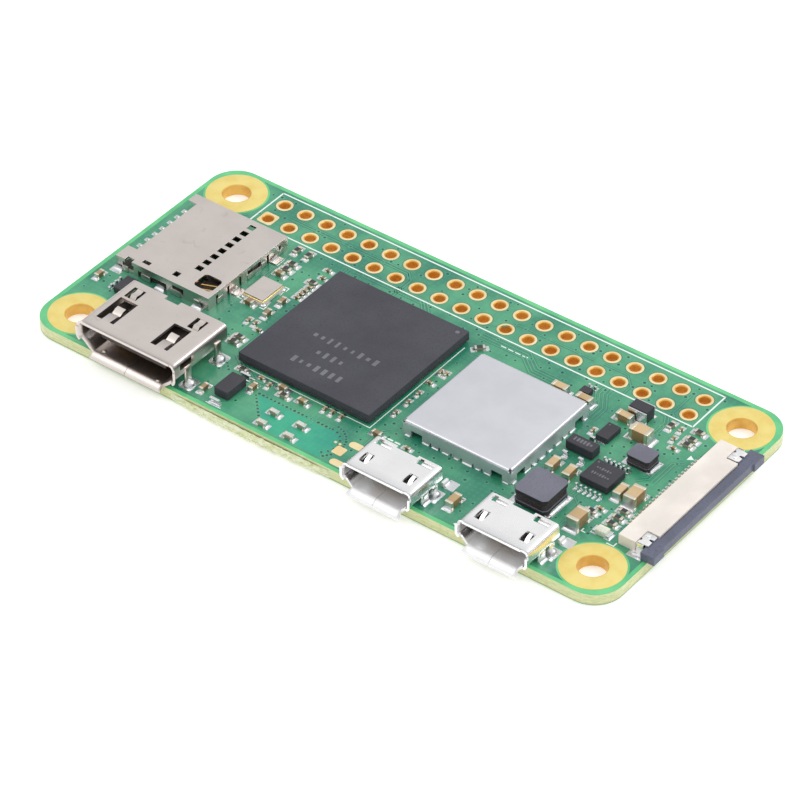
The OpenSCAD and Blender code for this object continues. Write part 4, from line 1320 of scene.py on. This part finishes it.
def make_usb(node, wet, land):
    x, back = middle_of(node + "_shell")[0], box_mm(node + "_insulator")[1].y + 0.8
    height, width = 2.5, 7.4
    front = back - 5.0
    lip = front + 0.3

    def flare(y, z):
        start = front + (0.62 if z > 1 else 0.55)
        t = max(0.0, (start - y) / 0.6)
        return t * t * (0.3 if z > 2 else 0.2 if z < 0.3 else 0.14)

    shell = Piece(node + "_shell_sheet", "bright", "bright_shell")
    outline = trapezoid(width, height, 1.1, 5.4, 0.5, 0.55, 0.5)
    windows = [
        *both_sides(1.94, 2.86, back - 3.65, back - 2.3, 2, 3),
        *both_sides(1.4, 3.1, back - 0.95, back - 0.2, 2, 3),
        (-1.15, 1.15, back - 0.3, back + 1, 2, 3), (-4, 4, front - 1, front, 0.4, 3),
        *both_sides(2.75, 3.45, front - 1, lip, -1, 0.95),
        *both_sides(3.1, 4, front - 1, lip, 2.05, 3),
    ]
    rows = [front + y for y in (-0.36, -0.2, 0, 0.12, 0.24, 0.38, 0.55)] + [back]
    shell.stamp(formed_sheet(outline, rows, 0.25, windows, flare), (x, 0, TOP))
    spring = ((-2.3, -0.12), (-2.8, -0.3), (-3.3, -0.75))
    tongue = ((-1.0, -0.1), (-0.72, -0.5), (-0.34, -0.66), (0.02, -0.5))
    for s in SIDES:
        # Latch spring in its window, and the tongue bent down at the back edge
        for path, thick, wide, at in ((spring, 0.14, 0.4, 2.4), (tongue, 0.15, 1.3, 2.25)):
            path = [(back + y, height + z) for y, z in path]
            shell.stamp(band(path, thick, wide), (x + s * at, 0, TOP))
        # Through-board leg with its shoulder, and the side skirt in front of it
        shell.stamp(rounded_box(0.25, 0.75, 1.9, 0.05, 2, -0.9), (x + s * 3.58, back - 1.05, TOP))
        shell.stamp(rounded_box(0.22, 0.9, 1.25, 0.05, 2, 0.03), (x + s * 3.55, back - 2.4, TOP))
        joint_blob(wet, x + s * 3.72, back - 1.05, 0.44, 0.42)
        wet.stamp(fillet(0.9, 0.3, 0.3, 0.08), (x + s * 3.66, back - 2.4, SKIN), s * 90)
        land.stamp(plate(0.55, 0.62, 0.12, 4, 0.012, 0.01), (x + s * 4.1, back + 0.78, TOP))
        wet.stamp(fillet(0.8, 0.62, 0.28, 0.12), (x + s * 3.66, back + 0.72, SKIN), s * 90)
        shell.stamp(rounded_box(0.3, 0.8, 0.5, 0.06, 2, 0.02), (x + s * 3.55, back + 0.55, TOP))
        land.stamp(plate(0.6, 0.85, 0.1, 4, 0.01, 0.01), (x + s * 3.75, back - 1.2, TOP))
    shell.done(node + "_shell")


def make_hdmi(wet, land):
    x, back, front = middle_of("hdmi_shell")[0], -7.6, -15.4
    height, width, knee, floor = 3.15, 11.2, 1.45, 8.2

    def flare(y, z):
        t = max(0.0, (front + 0.55 - y) / 0.55)
        return t * t * (0.3 if 0.3 < z < 2.8 else 0.18 if z > 1 else 0.2)

    shell = Piece("hdmi_shell_sheet", "shell", "shell_steel")
    outline = trapezoid(width, height, knee, floor, 0.5, 0.6, 0.45)
    big, small = ((-4.7, -2.65), (1.7, 3.7)), ((-4.6, -3.25), (2.85, 4.15))
    windows = [(a, b, -13.8, -10.3, 2.9, 4) for a, b in big]
    windows += [(a, b, -10.0, -8.4, 2.9, 4) for a, b in small]
    windows += [
        (-1.35, 0.25, back - 0.5, back + 1, 2.9, 4), (5, 6, -14.3, -12.4, 2.1, 2.75),
        *both_sides(4.1, 5.35, front - 1, front + 0.25, -1, 1.3),
        *both_sides(5.0, 6, front - 1, front + 0.1, 2.5, 4), (-6, 6, front - 1, front, 0.3, 4),
    ]
    rows = [front + y for y in (-0.22, -0.1, 0, 0.1, 0.25, 0.4, 0.55)] + [back]
    shell.stamp(formed_sheet(outline, rows, 0.28, windows, flare), (x, 0, TOP))
    # A long contact tongue is rooted at the front and dipped to the plug at its tip
    long = (
        (-13.85, -0.14), (-12.7, -0.2), (-12.3, -0.42), (-11.8, -0.14), (-11.5, -0.1),
        (-11.15, -0.5),
    )
    short = ((-8.35, -0.14), (-8.8, -0.24), (-9.3, -0.16), (-9.7, -0.6))
    for spans, path, wide, shift in ((big, long, 0.95, 0.08), (small, short, 0.66, 0)):
        tongue = band([(y, height + z) for y, z in path], 0.2, wide)
        for a, b in spans:
            shell.stamp(tongue, (x + (a + b) / 2 + shift, 0, TOP))
    for s, y in product(SIDES, (-13.3, -9.0)):
        shell.stamp(rounded_box(0.28, 0.8, 2.9, 0.07, 2, -0.9), (x + s * 5.62, y, TOP))
        joint_blob(wet, x + s * 5.75, y, 0.62, 0.5)
        land.stamp(plate(0.75, 0.9, 0.3, 5, 0.01, 0.01), (x + s * 5.75, y, TOP))
    # Small round stops pressed into the mouth's floor
    for dx, y in ((-3.2, -14.6), (3.4, -14.9)):
        shell.stamp(dome(0.22, 0.14), (x + dx, y, TOP + 0.28))
    shell.done("hdmi_shell")


def make_card_socket(wet, land):
    front = box_mm("card_socket_shell")[0].y
    for k in range(8):
        y = 6.3 - 1.1 * k + 0.02 * (k % 3)
        land.stamp(plate(0.42, 0.27, 0.06, 3, 0.01, 0.008), (-31.0, y, TOP))
        wet.stamp(dome(0.26, 0.2), (-30.95, y, SKIN), scale=(1.25, 0.8, 1))
    for x, y, turn in (
        (-19.35, 5.6, 90), (-19.3, -0.3, 90), (-30.5, -4.35, 0), (-20.9, -4.4, 0),
        (-25.4, -4.35, 0),
    ):
        land.stamp(plate(0.62, 0.5, 0.08, 3, 0.01, 0.01), (x, y, TOP), turn)
        at = (x - 0.2, y, SKIN) if turn else (x, y + 0.15, SKIN)
        wet.stamp(fillet(0.95, 0.34, 0.42, 0.08), at, turn)
    # Raised hold-down tabs along the front and right walls
    tabs = Piece("card_shell_tabs", "shell", "shell_steel")
    for x, w in ((-29.7, 0.7), (-27.2, 1.1), (-23.6, 1.2), (-21.1, 0.7)):
        tabs.stamp(rounded_box(w, 0.16, 0.62, 0.04, 2, 0.05), (x, front - 0.02, TOP))
    for y, w in ((6.6, 0.8), (4.1, 0.7), (2.2, 1.2), (-2.4, 0.9)):
        tabs.stamp(rounded_box(0.16, w, 0.6, 0.04, 2, 0.05), (-19.72, y, TOP))
    tabs.done()


def make_camera_socket(wet, land):
    """Sprung metal clips at both ends, and the solder of the clips and of the contacts."""
    clips = Piece("camera_anchor_clips", "bright", "solder_tin")
    # Half of a clip's top: a plate with two notches and a bent spring finger
    outline = (
        (0, 0), (0.85, 0), (1.12, 0.12), (1.12, 0.62), (0.72, 0.66), (0.72, 0.86), (1.12, 0.9),
        (1.12, 1.5), (0.62, 1.52), (0.62, 1.7), (0, 1.7), (0, 1.2), (0.2, 1.16), (0.2, 0.95),
        (0, 0.9),
    )
    middle = middle_of("camera_anchors")[1]
    boxes = (
        # length, width, height, base, x, distance from the middle
        (0.72, 0.15, 1.12, 0.02, 31.28, 7.82), (1.1, 0.6, 0.15, 0.02, 31.18, 8.04),
        (0.5, 0.42, 0.1, 1.12, 31.3, 6.55),
    )
    for s in SIDES:
        mirrored = [(30.92 + x, middle + s * (6.2 + y)) for x, y in outline]
        clips.stamp(prism(mirrored, TOP + 1.0, TOP + 1.14, 0.03, 2))
        for length, width, height, base, x, out in boxes:
            box = rounded_box(length, width, height, 0.04, 2, base)
            clips.stamp(box, (x, middle + s * out, TOP))
        y = middle + s * 8.15
        foot = prism(rectangle(-0.75, -0.5, 0.75, 0.5), 0, PROUD + 0.01, 0.01, 1)
        land.stamp(foot, (31.1, y, TOP))
        wet.stamp(dome(0.3, 0.22), (31.0, y + s * 0.1, SKIN), scale=(1.3, 0.8, 1))
    clips.done("camera_anchors")
    for low, high in island_boxes("camera_contacts"):
        tail, y = low[0], (low[1] + high[1]) / 2
        land.stamp(plate(0.42, 0.13, 0.04, 2, 0.008), (tail + 0.2, y, TOP))
        wet.stamp(dome(0.15, 0.13), (tail + 0.12, y, SKIN), scale=(1.8, 0.7, 1))


def make_sockets():
    wet, land = solder_and_lands("socket")
    make_card_socket(wet, land)
    make_hdmi(wet, land)
    make_usb("usb_data", wet, land)
    make_usb("usb_power", wet, land)
    make_camera_socket(wet, land)
    # Loose test pads near the data socket
    pads = Piece("test_pads", "pad", "gold_plating")
    for x, y, w, d in (
        (2.2, -12.55, 1.1, 1.1), (3.05, -11.15, 1.5, 0.8), (3.05, -14.0, 1.5, 0.8),
        (1.2, -11.8, 0.25, 0.25), (1.7, -11.8, 0.25, 0.25),
    ):
        radius = min(w, d) * (0.12 if w == d else 0.48)
        pads.stamp(plate(w / 2, d / 2, radius, 5, 0.014, 0.01), (x, y, TOP))
    finish_all(pads, wet, land)


make_sockets()

# ---------------------------------------------------------------- floor and light


def make_floor():
    mesh = bpy.data.meshes.new("floor")
    corners = [(x, y, 0) for x, y in rectangle(-1.5, -1.5, 1.5, 1.5)]
    mesh.from_pydata(corners, [], [(0, 1, 2, 3)])
    paper = Look("studio_paper", rough=0.9, Emission_Strength=0.3, Emission_Color=(1, 1, 1, 1))
    paper.colour(paper.mix(paper.noise(60, 2), (0.9, 0.9, 0.9, 1), (0.93, 0.93, 0.93, 1)))
    mesh.materials.append(paper.mat)
    floor = show(bpy.data.objects.new("floor", mesh))
    floor.location.z = -0.07 * MM


def make_sky():
    world = bpy.data.worlds.new("studio")
    scene.world = world
    world.use_nodes = True
    tree = world.node_tree
    background = tree.nodes["Background"]
    place = tree.nodes.new("ShaderNodeTexCoord")
    split = tree.nodes.new("ShaderNodeSeparateXYZ")
    ramp = tree.nodes.new("ShaderNodeValToRGB")
    stops = ramp.color_ramp.elements
    stops[0].position, stops[0].color = 0.0, (0.37, 0.38, 0.39, 1)
    stops[1].position, stops[1].color = 0.85, (1, 1, 1, 1)
    for at, grey in ((0.3, 0.65), (0.62, 0.8)):
        stops.new(at).color = (grey, grey + 0.01, grey + 0.02, 1)
    tree.links.new(place.outputs["Generated"], split.inputs[0])
    tree.links.new(split.outputs["Z"], ramp.inputs["Fac"])
    tree.links.new(ramp.outputs["Color"], background.inputs["Color"])
    background.inputs["Strength"].default_value = 1.06


def soft_box(name, at, size, power):
    data = bpy.data.lights.new(name, "AREA")
    data.shape = "SQUARE"
    data.size = size
    data.energy = power
    lamp = show(bpy.data.objects.new(name, data))
    lamp.location = Vector(at) * MM
    lamp.rotation_euler = Vector(at).to_track_quat("Z", "Y").to_euler()


make_floor()
make_sky()
soft_box("key", (230, 200, 320), 0.22, 0.5)
soft_box("fill", (-197, -164, 332), 0.17, 0.14)
scene.view_settings.view_transform = "Standard"
scene.view_settings.look = "None"
